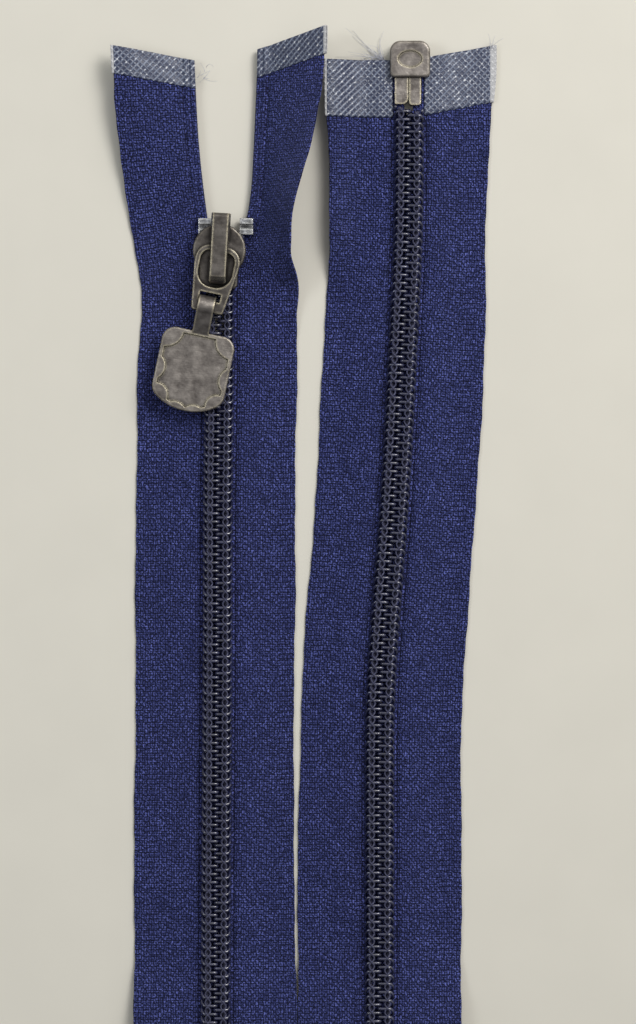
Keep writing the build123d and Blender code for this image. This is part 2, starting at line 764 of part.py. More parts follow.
def tab_plan():
    """The tab's plate: square shoulders and a full, rounded lower edge."""
    half = tab_width / 2
    top = -tab_neck_length
    side_end = top - tab_length + tab_bottom_rise
    plan = make_face(
        [
            Line((-half, top), (half, top)),
            Line((half, top), (half, side_end)),
            ThreePointArc((half, side_end), (0, top - tab_length), (-half, side_end)),
            Line((-half, side_end), (-half, top)),
        ]
    )
    upper = plan.vertices().group_by(Axis.Y)[-1]
    plan = fillet(upper, tab_corner)
    lower = [v for v in plan.vertices() if abs(v.Y - side_end) < small]
    return fillet(lower, tab_lower_corner)


def pull_tab():
    """The hanging tab: a ring through the link's slot, a neck and a plate with a bare sunk panel."""
    inner = math.hypot(link_end_bar / 2, link_thick / 2) + tab_clearance
    outer = inner + tab_ring_wall
    ring = extrude(Plane.YZ * (Circle(outer)), tab_neck_width / 2, both=True)
    plate_top = -outer + tab_thick
    neck_profile = make_face(
        Polyline(
            (0, 0, -outer),
            (0, -tab_neck_length - neck_lap, -outer),
            (0, -tab_neck_length - neck_lap, plate_top),
            (0, -outer * math.sqrt(0.5), outer * math.sqrt(0.5)),
            close=True,
        )
    )
    neck = extrude(neck_profile, amount=tab_neck_width / 2, dir=(1, 0, 0), both=True)
    plan = tab_plan()
    plate = Pos(0, 0, -outer) * extrude(plan, tab_thick)
    plate = fillet(plate.faces().sort_by(Axis.Z)[-1].edges(), tab_edge_round)
    bore = extrude(Plane.YZ * Circle(inner), tab_neck_width, both=True)
    panel = offset(plan, -tab_rim)
    for inset, drop, radius in tab_scallops:
        for sign in (1, -1):
            panel -= Pos(sign * (tab_width / 2 - inset), -tab_neck_length - drop) * Circle(radius)
    sink = Pos(0, 0, plate_top - tab_recess) * extrude(panel, tab_recess * 2)
    tab = joined([plate, neck, ring]) - bore - sink
    hinge = Pos(-tab_shift, -(link_length - link_end_bar / 2), 0)
    return pull_place() * hinge * tab


def whole_zip():
    """Every node of the zip by name, before its origin is moved."""
    outer = outer_tape()
    inner = inner_tape()
    return {
        "outer_tape": outer,
        "inner_tape": inner,
        "outer_coil": coil(-1),
        "inner_coil": coil(1),
        "outer_core_cord": core_cord(-1),
        "inner_core_cord": core_cord(1),
        "outer_stitching": stitching(-1),
        "inner_stitching": stitching(1),
        "left_top_stop": top_stop(-1, outer),
        "right_top_stop": top_stop(1, inner),
        "left_top_film": top_film_left(),
        "right_top_film": top_film_right(),
        "left_bottom_film": bottom_film(1),
        "right_bottom_film": bottom_film(-1),
        "retainer_box": retainer_box(),
        "box_pin": box_pin(inner),
        "insertion_pin": insertion_pin(outer),
        "slider_body": slider_body(),
        "bridge_cap": bridge_cap(),
        "locking_pawl": locking_pawl(),
        "lock_spring": lock_spring(),
        "pull_link": pull_link(),
        "pull_tab": pull_tab(),
    }


nodes = whole_zip()
bounds = Compound([solid for node in nodes.values() for solid in node.solids()]).bounding_box()
origin = ((bounds.min.X + bounds.max.X) / 2, (bounds.min.Y + bounds.max.Y) / 2, bounds.min.Z)
to_origin = Pos(-origin[0], -origin[1], -origin[2])
os.makedirs("parts", exist_ok=True)
for name, node in nodes.items():
    export_step(Compound(node.solids()).moved(to_origin), f"parts/{name}.step")
print("origin", origin)
print("size", bounds.size)
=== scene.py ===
import math

import bmesh
import bpy
import numpy as np
from bpy.props import FloatProperty, FloatVectorProperty, IntProperty, PointerProperty
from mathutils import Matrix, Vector


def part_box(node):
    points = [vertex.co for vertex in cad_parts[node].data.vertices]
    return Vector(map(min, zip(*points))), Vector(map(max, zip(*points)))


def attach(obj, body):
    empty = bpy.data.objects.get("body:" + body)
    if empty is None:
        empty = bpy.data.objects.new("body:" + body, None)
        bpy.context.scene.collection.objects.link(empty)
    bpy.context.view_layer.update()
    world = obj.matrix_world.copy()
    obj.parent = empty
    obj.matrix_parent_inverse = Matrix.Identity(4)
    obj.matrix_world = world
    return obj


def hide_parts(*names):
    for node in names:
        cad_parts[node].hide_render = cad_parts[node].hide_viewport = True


bl_info = {
    "name": "Open-end coil zip",
    "version": (1, 0, 0),
    "blender": (4, 5, 0),
    "location": "3D View > Sidebar > Zip",
    "description": "Woven tapes, sewn coils, end films and metal finishes round the frame of a folded zip",
    "category": "Object",
}

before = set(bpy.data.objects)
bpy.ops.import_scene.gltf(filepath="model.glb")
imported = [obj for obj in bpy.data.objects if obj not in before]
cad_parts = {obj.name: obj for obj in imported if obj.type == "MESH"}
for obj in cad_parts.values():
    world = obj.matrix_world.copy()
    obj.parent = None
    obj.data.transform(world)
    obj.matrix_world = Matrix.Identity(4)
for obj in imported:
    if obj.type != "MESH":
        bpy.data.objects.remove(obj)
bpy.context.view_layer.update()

# How the zip lies, in millimetres and degrees. Lengths run along the chain's centre line, and
# Y and X are counted from the left run's chain line, as in ORIGIN_X and ORIGIN_Y.
MM = 0.001
TAPE_EDGE = 0.85            # chain centre line to a tape's chain edge
TAPE_OUT = 15.8             # chain centre line to a selvedge
BAND_THICK = 0.5
MARGIN_THICK = 0.45
RUN_PITCH = 31.7            # between the two runs at the fold
TAPE_LIFT = 1.2
FOLD_Y = -118.5
FOLD_AXIS_Z = 2.7
FOLD_HALF_GAP = 0.3
FOLD_REACH = 0.45           # half the cloth taken up by a crease
RAMP_START_Y = -83.0        # each run rises to the crossing strip from here
RAMP_END_Y = -101.0         # to here
RUN_STRAIGHT_Y = -50.0
LEAF_Y = 42.0               # the tapes part above this
LEFT_RUN = LEAF_Y - FOLD_Y
RUN_TURNS = [(RUN_STRAIGHT_Y - FOLD_Y, -2.9, 700.0), (57.0, 2.9, 700.0)]
LEFT_LEAF_TURNS = [(0.0, 8.0, 60.0), (8.0, -5.5, 150.0)]
RIGHT_LEAF_STATIONS = np.array([
    (42.0, 0.85, 4.65, 0.0),
    (46.0, 0.95, 4.65, 28.0),
    (49.0, 1.6, 4.65, 44.0),
    (53.0, 3.8, 4.0, 57.0),
    (57.0, 5.4, 3.0, 63.0),
    (63.0, 6.2, 2.2, 57.0),
    (71.0, 6.6, 2.2, 45.0),
    (83.5, 7.15, 2.2, 34.0),
    (89.0, 7.25, 2.2, 32.0),
])
COIL_TOP_Y = 53.2
COIL_BOTTOM_Y = 77.9
COIL_TOP_H = 2.4
CORD_RADIUS = 0.42
CORD_AT = (1.7, 1.45)       # the filler cord's middle, across and above the tape's back
TURN_UP = 1.9               # half the length of the right leaf's bend across the tape
TABLE_GAP = 0.12            # below the selvedges, where they settle on the table
LEFT_LEAF_LIFT = 3.2        # rise of the left leaf's selvedge
RIGHT_RUN_LIFT = 3.8        # rise of the right run's inner selvedge beside the leaf
LEFT_DRIFT = 0.35           # sideways drift of the left run, twice over
RIGHT_DRIFT = 0.95          # sideways drift of the right run
DRAWN_LEFT = 0.95           # how far the inner tape's selvedge is drawn in on the left run
DRAWN_RIGHT = 0.65          # and on the right run
DRAWN_OUTER = 0.9           # the outer tape's two dips
LET_OUT = 0.75              # the outer tape's spread at its bottom end
BEAD_WIDTH = 1.1
BEAD_HEIGHT = 0.34
GROOVE = (2.9, 3.5)         # the groove between the dense band and the margin
GROOVE_DEPTH = 0.16
EDGE_UNDER_COIL = 0.5       # how far the chain edges reach in under the closed coils
TOP_FILM = 5.4
BOTTOM_FILM = 11.0
BOTTOM_FILM_INNER = 2.9     # chain centre line to the bottom films' inner edge
FILM_THICK = 0.11
# Colour of the painted glints on the film's net
FILM_PAINTED_GLINT = (0.85, 0.87, 0.9)
TOP_END = {-1: 86.9, 1: 89.0}       # where each tape's top is cut, at its chain edge
BOTTOM_END_Y = 86.9
TOP_SLANT = {-1: 0.22, 1: 0.26}
BOTTOM_SLANT = {-1: 0.2, 1: 0.0}
BOX_OFFSET = (36.627, 83.5)         # the retainer box's middle and lower end, from the left run's chain line
SIDES = {"outer": -1, "inner": 1}
WINDOW_WAY = (0.45, 0.5, 0.74)      # direction of the brightest part of the room
DIM_SKY = (0.29, 0.305, 0.34)
BRIGHT_SKY = (1.86, 1.86, 1.84)

box_low, box_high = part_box("retainer_box")
ORIGIN_X = (box_low.x + box_high.x) / 2 - BOX_OFFSET[0] * MM
ORIGIN_Y = box_low.y - BOX_OFFSET[1] * MM


def smooth_rise(x, low, high):
    """From 0 at low to 1 at high, level at both ends: 3f^2 - 2f^3 of the fraction f."""
    f = np.clip((x - low) / (high - low), 0.0, 1.0)
    return f * f * (3 - 2 * f)


def centre_line(start, turns, reach):
    """A line that starts towards +Y and bends evenly through each turn.
    Its place is the running sum of the cosine and sine of its heading."""
    knots, headings, at, heading = [0.0], [90.0], 0.0, 90.0
    for straight, turn, radius in turns:
        at += straight
        knots.append(at)
        headings.append(heading)
        at += radius * math.radians(abs(turn))
        heading += turn
        knots.append(at)
        headings.append(heading)
    s = np.linspace(0.0, reach, 2001)
    angle = np.radians(np.interp(s, knots, headings))
    step = reach / 2000
    dx, dy = np.cos(angle), np.sin(angle)
    x = start[0] + np.concatenate([[0], np.cumsum((dx[1:] + dx[:-1]) / 2)]) * step
    y = start[1] + np.concatenate([[0], np.cumsum((dy[1:] + dy[:-1]) / 2)]) * step
    return s, x, y, angle


def beside(line, s, offset):
    """The point at length s, moved the offset square to the line's heading, to its right."""
    along, x, y, angle = line
    turn = np.interp(s, along, angle)
    return np.interp(s, along, x) + offset * np.sin(turn), np.interp(s, along, y) - offset * np.cos(turn)


RIGHT_LINE = centre_line((RUN_PITCH, FOLD_Y), RUN_TURNS, 215.0)
LEFT_LEAF_LINE = centre_line((0.0, LEAF_Y), LEFT_LEAF_TURNS, 60.0)


def leaf_table():
    """The right leaf's inner edge, flat width and tilt along Y, with each corner rounded off
    by a running mean weighted like one hump of a cosine."""
    y = np.arange(30.0, 95.0, 0.25)
    window = np.hanning(25)
    window /= window.sum()
    padded = np.arange(y[0] - 3.0, y[-1] + 3.01, 0.25)
    rows = [y]
    for column in (1, 2, 3):
        raw = np.interp(padded, RIGHT_LEAF_STATIONS[:, 0], RIGHT_LEAF_STATIONS[:, column])
        rows.append(np.convolve(raw, window, mode="valid")[: len(y)])
    return rows


LEAF_ROWS = leaf_table()


def right_leaf_place(y, t, h):
    """The inner tape above the parting point. Across it lies flat, turns up through an arc of
    even bend and goes straight on at the tilt; h is set off square to that line."""
    ys, inner, flat, tilt = LEAF_ROWS
    edge, width = np.interp(y, ys, inner), np.interp(y, ys, flat)
    angle = np.radians(np.maximum(np.interp(y, ys, tilt), 0.01))
    bend = angle / (2 * TURN_UP)
    reach = t - TAPE_EDGE
    flat = width - TURN_UP
    turned = np.clip((reach - flat) * bend, 0.0, angle)
    beyond = np.maximum(reach - width - TURN_UP, 0.0)
    x = edge + np.minimum(reach, flat) + np.sin(turned) / bend + beyond * np.cos(angle)
    z = (1 - np.cos(turned)) / bend + beyond * np.sin(angle)
    return x - h * np.sin(turned), y, TAPE_LIFT + z + h * np.cos(turned)


def lay(u, t, h, side):
    """Where a point of the zip lies, in metres. u runs down the left run from the parting point,
    across the fold and up the right run; t is across, negative on the outer tape; h is above the
    tape's back. A fold is a mirror image in a crease at 45 degrees, joined by a half turn round
    an axis under the crease. Above the parting point each tape follows its own leaf."""
    u, t, h = np.broadcast_arrays(*[np.asarray(a, float) for a in (u, t, h)])
    q = u - LEFT_RUN
    far = q > RUN_PITCH / 2
    q = np.where(far, RUN_PITCH - q, q)
    past, along = (q - t) / math.sqrt(2), (q + t) / math.sqrt(2)
    run_y = FOLD_Y - q
    flat = smooth_rise(run_y, RAMP_END_Y, RAMP_START_Y)
    base = FOLD_AXIS_Z + FOLD_HALF_GAP
    base = base + (TAPE_LIFT - base) * flat
    settle = (TAPE_LIFT - TABLE_GAP) * smooth_rise(np.abs(t), 5.0, 12.5) * flat
    settle = settle * (smooth_rise(u, 0.0, 9.0) if side > 0 else 1 - 0.9 * smooth_rise(-u, 10.0, 40.0))
    lift = RIGHT_RUN_LIFT * far * smooth_rise(-q, 160.0, 174.0) * smooth_rise(t, 7.0, TAPE_OUT)
    if side < 0:
        lift = lift + LEFT_LEAF_LIFT * smooth_rise(-u, 12.0, 46.0) * smooth_rise(-t, 1.5, 14.0)
    half_turn = np.clip((past + FOLD_REACH) / (2 * FOLD_REACH), 0, 1) * math.pi
    radius = FOLD_HALF_GAP + h
    before, after = past < -FOLD_REACH, past > FOLD_REACH
    bulge = np.where(before, past, np.where(after, -past, -FOLD_REACH + radius * np.sin(half_turn)))
    z = np.where(before, base - settle + lift + h, FOLD_AXIS_Z + radius * np.cos(half_turn))
    x = (along - bulge) / math.sqrt(2)
    y = -(along + bulge) / math.sqrt(2)
    run_x, right_y = beside(RIGHT_LINE, y, -t)
    run_x = run_x + 0.3 * smooth_rise(y, 105, 135) * smooth_rise(-y, -200, -165)
    on_run = far & before & (y > 30)
    x = np.where(far, np.where(on_run, run_x, RUN_PITCH - x), x)
    y = np.where(on_run, right_y, FOLD_Y + y)
    if side < 0:
        leaf_x, leaf_y = beside(LEFT_LEAF_LINE, -u, t)
        leaf = u < 0
        leaf_x = leaf_x - (0.3 - 0.035 * t) * smooth_rise(-u, 18.0, 38.0)
        x, y = np.where(leaf, leaf_x, x), np.where(leaf, leaf_y, y)
    else:
        leaf_x, leaf_y, leaf_z = right_leaf_place(LEAF_Y - u, t, h)
        leaf = u < 4
        x, y, z = np.where(leaf, leaf_x, x), np.where(leaf, leaf_y, y), np.where(leaf, leaf_z - settle, z)
    left_share = 1 - smooth_rise(x, 14.0, 17.6)
    settled = smooth_rise(-y, 10.0, 95.0) + smooth_rise(-y, -30.0, 6.0)
    x = x - LEFT_DRIFT * left_share * settled
    x = x - RIGHT_DRIFT * (1 - left_share) * smooth_rise(-y, 0.0, 42.0)
    return np.stack([ORIGIN_X + x * MM, ORIGIN_Y + y * MM, z * MM], axis=-1)


def u_at_top(side, y):
    """The running length at which a leaf reaches y."""
    if side > 0:
        return LEAF_Y - y
    s, _, line_y, _ = LEFT_LEAF_LINE
    return -float(np.interp(y, line_y, s))


def u_at_bottom(y):
    """The running length at which the right run reaches y."""
    s, _, line_y, _ = RIGHT_LINE
    return LEFT_RUN + RUN_PITCH + float(np.interp(y, line_y, s))


# Mesh building


def new_piece(name, points, faces, uv=None, smooth=True):
    """A mesh object from arrays of points, faces and, per point, a place on the cloth in millimetres."""
    mesh = bpy.data.meshes.new(name)
    mesh.from_pydata(points.reshape(-1, 3).tolist(), [], [tuple(f) for f in faces])
    if uv is not None:
        layer = mesh.uv_layers.new(name="cloth")
        corner = np.zeros(len(mesh.loops), np.int32)
        mesh.loops.foreach_get("vertex_index", corner)
        layer.data.foreach_set("uv", uv.reshape(-1, 2)[corner].astype(np.float32).ravel())
    work = bmesh.new()
    work.from_mesh(mesh)
    bmesh.ops.recalc_face_normals(work, faces=work.faces)
    work.to_mesh(mesh)
    work.free()
    mesh.polygons.foreach_set("use_smooth", [smooth] * len(mesh.polygons))
    obj = bpy.data.objects.new(name, mesh)
    bpy.context.scene.collection.objects.link(obj)
    return obj


def grid_quads(rows, columns, first=0):
    """Quads of a grid of points numbered row by row."""
    index = first + np.arange(rows * columns).reshape(rows, columns)
    return np.stack([index[:-1, :-1], index[:-1, 1:], index[1:, 1:], index[1:, :-1]], axis=-1).reshape(-1, 4)


def slab(u, t, low, high, side):
    """Points, faces and cloth places of a closed slab. Its two faces are grids over u and t at the
    heights low and high, and quads close its rim."""
    rows, columns = u.shape
    count = rows * columns
    points = np.concatenate([lay(u, t, low, side).reshape(-1, 3), lay(u, t, high, side).reshape(-1, 3)])
    lower = grid_quads(rows, columns)[:, ::-1]
    upper = grid_quads(rows, columns, count)
    index = np.arange(count).reshape(rows, columns)
    rim = np.concatenate([index[0, :-1], index[:-1, -1], index[-1, :0:-1], index[:0:-1, 0]])
    ahead = np.roll(rim, -1)
    wall = np.stack([rim, ahead, ahead + count, rim + count], axis=-1)
    places = np.stack([t, u], axis=-1).reshape(-1, 2)
    return points, np.concatenate([lower, upper, wall]), np.concatenate([places, places])


def gathered(parts):
    """Several (points, faces, places) as one."""
    points, faces, places, count = [], [], [], 0
    for p, f, c in parts:
        points.append(p.reshape(-1, 3))
        faces.extend((np.asarray(f) + count).tolist() if isinstance(f, np.ndarray) else
                     [[i + count for i in face] for face in f])
        places.append(c.reshape(-1, 2))
        count += len(points[-1])
    return np.concatenate(points), faces, np.concatenate(places)


def tube_along(points, guide, radius, ring):
    """Points and faces of a round tube along a line. At each point a circle stands square to the
    line's direction, turned so that its first spoke leans towards the guide. Caps close its ends."""
    ahead = np.gradient(points, axis=0)
    ahead /= np.linalg.norm(ahead, axis=1, keepdims=True)
    spoke = guide - (guide * ahead).sum(1, keepdims=True) * ahead
    spoke /= np.linalg.norm(spoke, axis=1, keepdims=True)
    square = np.cross(ahead, spoke)
    turn = np.linspace(0, 2 * math.pi, ring, endpoint=False)
    size = np.broadcast_to(np.asarray(radius, float), (len(points),))[:, None, None]
    circle = spoke[:, None] * np.cos(turn)[None, :, None] + square[:, None] * np.sin(turn)[None, :, None]
    shell = points[:, None] + size * circle
    count = len(points)
    index = np.arange(count * ring).reshape(count, ring)
    beside_it = np.roll(index, -1, axis=1)
    quads = np.stack([index[:-1], beside_it[:-1], beside_it[1:], index[1:]], axis=-1).reshape(-1, 4)
    faces = quads.tolist() + [index[0, ::-1].tolist(), index[-1].tolist()]
    return shell, faces


def tube_on_zip(u, t, h, side, radius, ring, upright):
    """A tube whose line is given in the zip's own lengths. Its circles lean up from the tape, or
    along the chain where the line runs across it."""
    line = lay(u, t, h, side)
    nudge = 0.05
    guide = lay(u, t, h + nudge, side) - line if upright else lay(u + nudge, t, h, side) - line
    shell, faces = tube_along(line, guide, radius, ring)
    places = np.stack([np.broadcast_to(t, u.shape), u], axis=-1)
    return shell, faces, np.repeat(places[:, None], ring, axis=1)


def finish_piece(obj, material, nodes):
    """Give a new piece its material, body and slot, and the CAD nodes it stands for."""
    obj.data.materials.append(material)
    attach(obj, "zip")
    if nodes:
        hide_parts(*nodes)
    return obj


# Materials


def add_node(tree, kind, settings=None, **sockets):
    """A node with its settings, and its sockets set or linked. A socket's name has _ for a space,
    or is in_0, in_1 ... for its place."""
    node = tree.nodes.new(kind)
    for key, value in (settings or {}).items():
        setattr(node, key, value)
    for key, value in sockets.items():
        socket = node.inputs[int(key[3:])] if key.startswith("in_") else node.inputs[key.replace("_", " ")]
        if isinstance(value, bpy.types.NodeSocket):
            tree.links.new(value, socket)
        else:
            socket.default_value = value
    return node


def maths(tree, operation, first, second=0.0, third=0.0):
    """One Math node's result."""
    node = add_node(tree, "ShaderNodeMath", {"operation": operation}, in_0=first, in_1=second, in_2=third)
    return node.outputs[0]


def mixed(tree, factor, first, second, blend="MIX"):
    """Two colours mixed."""
    node = add_node(tree, "ShaderNodeMix", {"data_type": "RGBA", "blend_type": blend}, in_0=factor)
    for place, value in ((6, first), (7, second)):
        if isinstance(value, bpy.types.NodeSocket):
            tree.links.new(value, node.inputs[place])
        else:
            node.inputs[place].default_value = (*value[:3], 1.0)
    return node.outputs[2]


def blended(tree, factor, first, second):
    """Two values mixed."""
    node = add_node(tree, "ShaderNodeMix", {"data_type": "FLOAT"}, in_0=factor, in_2=first, in_3=second)
    return node.outputs[0]


def stretched(tree, value, low, high, to_low=0.0, to_high=1.0):
    """A value's range drawn out to another range, held at its ends."""
    node = add_node(tree, "ShaderNodeMapRange", None, Value=value, From_Min=low, From_Max=high,
                    To_Min=to_low, To_Max=to_high)
    return node.outputs[0]


def fresh_material(name):
    """A material with a plain Principled shader, its tree and its shader."""
    material = bpy.data.materials.new(name)
    material.use_nodes = True
    tree = material.node_tree
    return material, tree, tree.nodes["Principled BSDF"]


def cloth_place(tree):
    """The place on the cloth in millimetres: across and along."""
    uv = add_node(tree, "ShaderNodeUVMap", {"uv_map": "cloth"}).outputs[0]
    parts = add_node(tree, "ShaderNodeSeparateXYZ", None, in_0=uv)
    return uv, parts.outputs[0], parts.outputs[1]


def noise(tree, place, scale, detail=2.0, roughness=0.5, distortion=0.0):
    """One noise value over a place."""
    node = add_node(tree, "ShaderNodeTexNoise", None, Vector=place, Scale=scale, Detail=detail,
                    Roughness=roughness, Distortion=distortion)
    return node.outputs[0]


def scaled(tree, place, x, y, z=1.0, turn=0.0):
    """A place stretched along each axis, after a turn."""
    node = add_node(tree, "ShaderNodeMapping", None, Vector=place, Scale=(x, y, z),
                    Rotation=(0, 0, math.radians(turn)))
    return node.outputs[0]


def bump(tree, height, distance, strength=1.0, normal=None):
    """A bump from a height, its distance in millimetres."""
    node = add_node(tree, "ShaderNodeBump", None, Strength=strength, Distance=distance * MM, Height=height)
    if normal is not None:
        tree.links.new(normal, node.inputs["Normal"])
    return node.outputs[0]


def yarn_height(tree, across, along, pitch, row):
    """Short yarn floats: rows of rounded dashes, each row set on from the last by its own step.
    The height is the product of two half sine waves."""
    line = maths(tree, "DIVIDE", across, row)
    row_number = maths(tree, "FLOOR", line)
    mixed_up = maths(tree, "SINE", maths(tree, "MULTIPLY", row_number, 12.9898))
    hop = maths(tree, "FRACT", maths(tree, "MULTIPLY", mixed_up, 4375.85))
    step = maths(tree, "ADD", maths(tree, "DIVIDE", along, pitch), hop)
    crown = maths(tree, "SINE", maths(tree, "MULTIPLY", maths(tree, "FRACT", line), math.pi))
    dash = maths(tree, "SINE", maths(tree, "MULTIPLY", maths(tree, "FRACT", step), math.pi))
    dash = stretched(tree, dash, 0.0, 0.75)
    dash_number = maths(tree, "FLOOR", step)
    cell = add_node(tree, "ShaderNodeCombineXYZ", None, in_0=row_number, in_1=dash_number)
    shade = add_node(tree, "ShaderNodeTexWhiteNoise", {"noise_dimensions": "3D"}, Vector=cell.outputs[0])
    return maths(tree, "MULTIPLY", crown, dash), shade.outputs[0]


def woven_tape(colours, sizes):
    """Navy tape: close warp floats with painted shade in the gaps between them and painted highlight on
    their tops, patchy in tone, and a fine fuzz. The groove beside the dense band gets painted shade too.
    """
    material, tree, shader = fresh_material("woven_tape")
    place, across, along = cloth_place(tree)
    wander = maths(tree, "MULTIPLY", maths(tree, "SUBTRACT", noise(tree, place, 1.1, 3.0), 0.5), 0.55)
    across_wander = maths(tree, "ADD", across, wander)
    pitch, row = sizes.yarn_length / MM, sizes.yarn_spacing / MM
    warp, shade = yarn_height(tree, across_wander, maths(tree, "ADD", along, wander), pitch, row)
    weft, weft_shade = yarn_height(tree, along, across_wander, pitch * 0.8, row * 0.95)
    patch = stretched(tree, noise(tree, place, 2.3, 2.0), 0.42, 0.6)
    height = blended(tree, patch, warp, weft)
    tone = blended(tree, patch, shade, weft_shade)
    broad = noise(tree, place, 0.12, 2.0)
    # Painted highlight: the tops of the yarn floats are lightened by their height, times the random tone of
    # each float and the broad patches.
    crowns = stretched(tree, height, 0.35, 1.0)
    light = maths(tree, "MULTIPLY", crowns, stretched(tree, tone, 0.1, 1.0, 0.2, 1.1))
    light = maths(tree, "MULTIPLY", light, stretched(tree, broad, 0.3, 0.7, 0.8, 1.15))
    # Painted shade in the groove beside the dense band: about 3.2 mm across, the yarn height is lowered,
    # which darkens the colour as well as the bump.
    from_groove = maths(tree, "ABSOLUTE", maths(tree, "SUBTRACT", maths(tree, "ABSOLUTE", across), 3.2))
    height = maths(tree, "MULTIPLY", height, stretched(tree, from_groove, 0.1, 0.4, 0.25, 1.0))
    # Painted shade: the low gaps between the yarns are darkened in the colour.
    gap_shade_to_base = mixed(tree, stretched(tree, height, 0.1, 0.5), colours.tape_gap_shade, colours.tape)
    colour = mixed(tree, light, gap_shade_to_base, colours.tape_crown_highlight)
    tree.links.new(colour, shader.inputs["Base Color"])
    fuzz = noise(tree, place, 9.0, 2.0)
    lumpy = maths(tree, "ADD", height, maths(tree, "MULTIPLY", fuzz, 0.25))
    tree.links.new(bump(tree, lumpy, 0.4, 1.0), shader.inputs["Normal"])
    shader.inputs["Roughness"].default_value = 0.85
    shader.inputs["Sheen Weight"].default_value = 0.12
    shader.inputs["Sheen Roughness"].default_value = 0.5
    shader.inputs["Sheen Tint"].default_value = (0.4, 0.5, 1.0, 1.0)
    shader.inputs["Specular IOR Level"].default_value = 0.25
    return material


def netted_film(colours, sizes):
    """Clear film over a fine net: threads crossing at 45 degrees show pale, the cells between dark,
    with painted glints on the threads and their crossings. Past the selvedge the bare film is milky."""
    material, tree, shader = fresh_material("netted_film")
    place, across, along = cloth_place(tree)
    wobble = maths(tree, "MULTIPLY", maths(tree, "SUBTRACT", noise(tree, place, 0.8, 2.0), 0.5), 0.35)
    cell = sizes.film_cell / MM * math.sqrt(2)
    rise = maths(tree, "DIVIDE", maths(tree, "ADD", maths(tree, "ADD", across, along), wobble), cell)
    fall = maths(tree, "DIVIDE", maths(tree, "ADD", maths(tree, "SUBTRACT", across, along), wobble), cell)
    threads = []
    for line, width in ((rise, 0.3), (fall, 0.24)):
        off = maths(tree, "ABSOLUTE", maths(tree, "SUBTRACT", maths(tree, "FRACT", line), 0.5))
        threads.append(stretched(tree, off, 0.5 - width, 0.5))
    threads[1] = maths(tree, "MULTIPLY", threads[1], 0.6)
    net = maths(tree, "MAXIMUM", *threads)
    crossing = maths(tree, "MULTIPLY", *threads)
    seen = stretched(tree, noise(tree, place, 0.55, 3.0), 0.3, 0.62, 0.3, 1.0)
    speck = noise(tree, place, 3.2, 3.0, 0.7)
    net_seen = maths(tree, "MULTIPLY", net, seen)
    under = mixed(tree, stretched(tree, speck, 0.35, 0.65), colours.film_dark, colours.film)
    colour = mixed(tree, net_seen, under, colours.film_thread)
    # Painted glints: random patches of the rising threads and the crossings are lightened towards a
    # near-white colour.
    painted_sparkle = stretched(tree, noise(tree, place, 1.9, 2.0), 0.56, 0.66)
    crossing_share = maths(tree, "MULTIPLY", crossing, 0.5)
    painted_glint = maths(tree, "MULTIPLY_ADD", threads[0], 0.9, crossing_share)
    painted_glint = maths(tree, "MULTIPLY", painted_sparkle, painted_glint)
    colour = mixed(tree, painted_glint, colour, FILM_PAINTED_GLINT)
    bare = maths(tree, "GREATER_THAN", maths(tree, "ABSOLUTE", across), TAPE_OUT - 0.05)
    colour = mixed(tree, bare, colour, colours.film_bare)
    tree.links.new(colour, shader.inputs["Base Color"])
    shader.inputs["Roughness"].default_value = 0.36
    shader.inputs["Coat Weight"].default_value = 0.12
    shader.inputs["Coat Roughness"].default_value = 0.15
    relief = maths(tree, "ADD", net, maths(tree, "MULTIPLY", speck, 0.5))
    tree.links.new(bump(tree, relief, 0.12, 0.8), shader.inputs["Normal"])
    return material


def coil_nylon(colours):
    """Glossy near-black nylon with faint draw lines and a little tone change from turn to turn."""
    material, tree, shader = fresh_material("coil_nylon")
    place = add_node(tree, "ShaderNodeTexCoord").outputs["Object"]
    tone = noise(tree, place, 900.0, 2.0)
    colour = mixed(tree, stretched(tree, tone, 0.35, 0.7), colours.coil, colours.coil_light)
    tree.links.new(colour, shader.inputs["Base Color"])
    fine = noise(tree, place, 6000.0, 2.0)
    tree.links.new(stretched(tree, fine, 0.3, 0.7, 0.2, 0.3), shader.inputs["Roughness"])
    tree.links.new(bump(tree, fine, 0.02, 0.5), shader.inputs["Normal"])
    shader.inputs["Specular IOR Level"].default_value = 1.0
    shader.inputs["Coat Weight"].default_value = 0.6
    shader.inputs["Coat Roughness"].default_value = 0.12
    return material


def twisted_yarn(name, colour, light, spacing):
    """Spun yarn: fine plies crossing at a slant, with a soft sheen."""
    material, tree, shader = fresh_material(name)
    place, across, along = cloth_place(tree)
    slant = maths(tree, "MULTIPLY_ADD", across, 2.0, along)
    ply = maths(tree, "SINE", maths(tree, "MULTIPLY", slant, 2 * math.pi / spacing))
    ply = stretched(tree, ply, -1.0, 1.0)
    spun = maths(tree, "ADD", ply, noise(tree, place, 6.0, 3.0))
    shade = mixed(tree, stretched(tree, spun, 0.4, 1.5), colour, light)
    tree.links.new(shade, shader.inputs["Base Color"])
    tree.links.new(bump(tree, spun, 0.05, 0.7), shader.inputs["Normal"])
    shader.inputs["Roughness"].default_value = 0.6
    shader.inputs["Sheen Weight"].default_value = 0.2
    return material


def shaded(colour, share):
    """A darker colour."""
    return tuple(share * c for c in colour)


def likeness(tree, first, second):
    """How far two directions agree: their dot product."""
    node = add_node(tree, "ShaderNodeVectorMath", {"operation": "DOT_PRODUCT"}, in_0=first, in_1=second)
    return node.outputs["Value"]


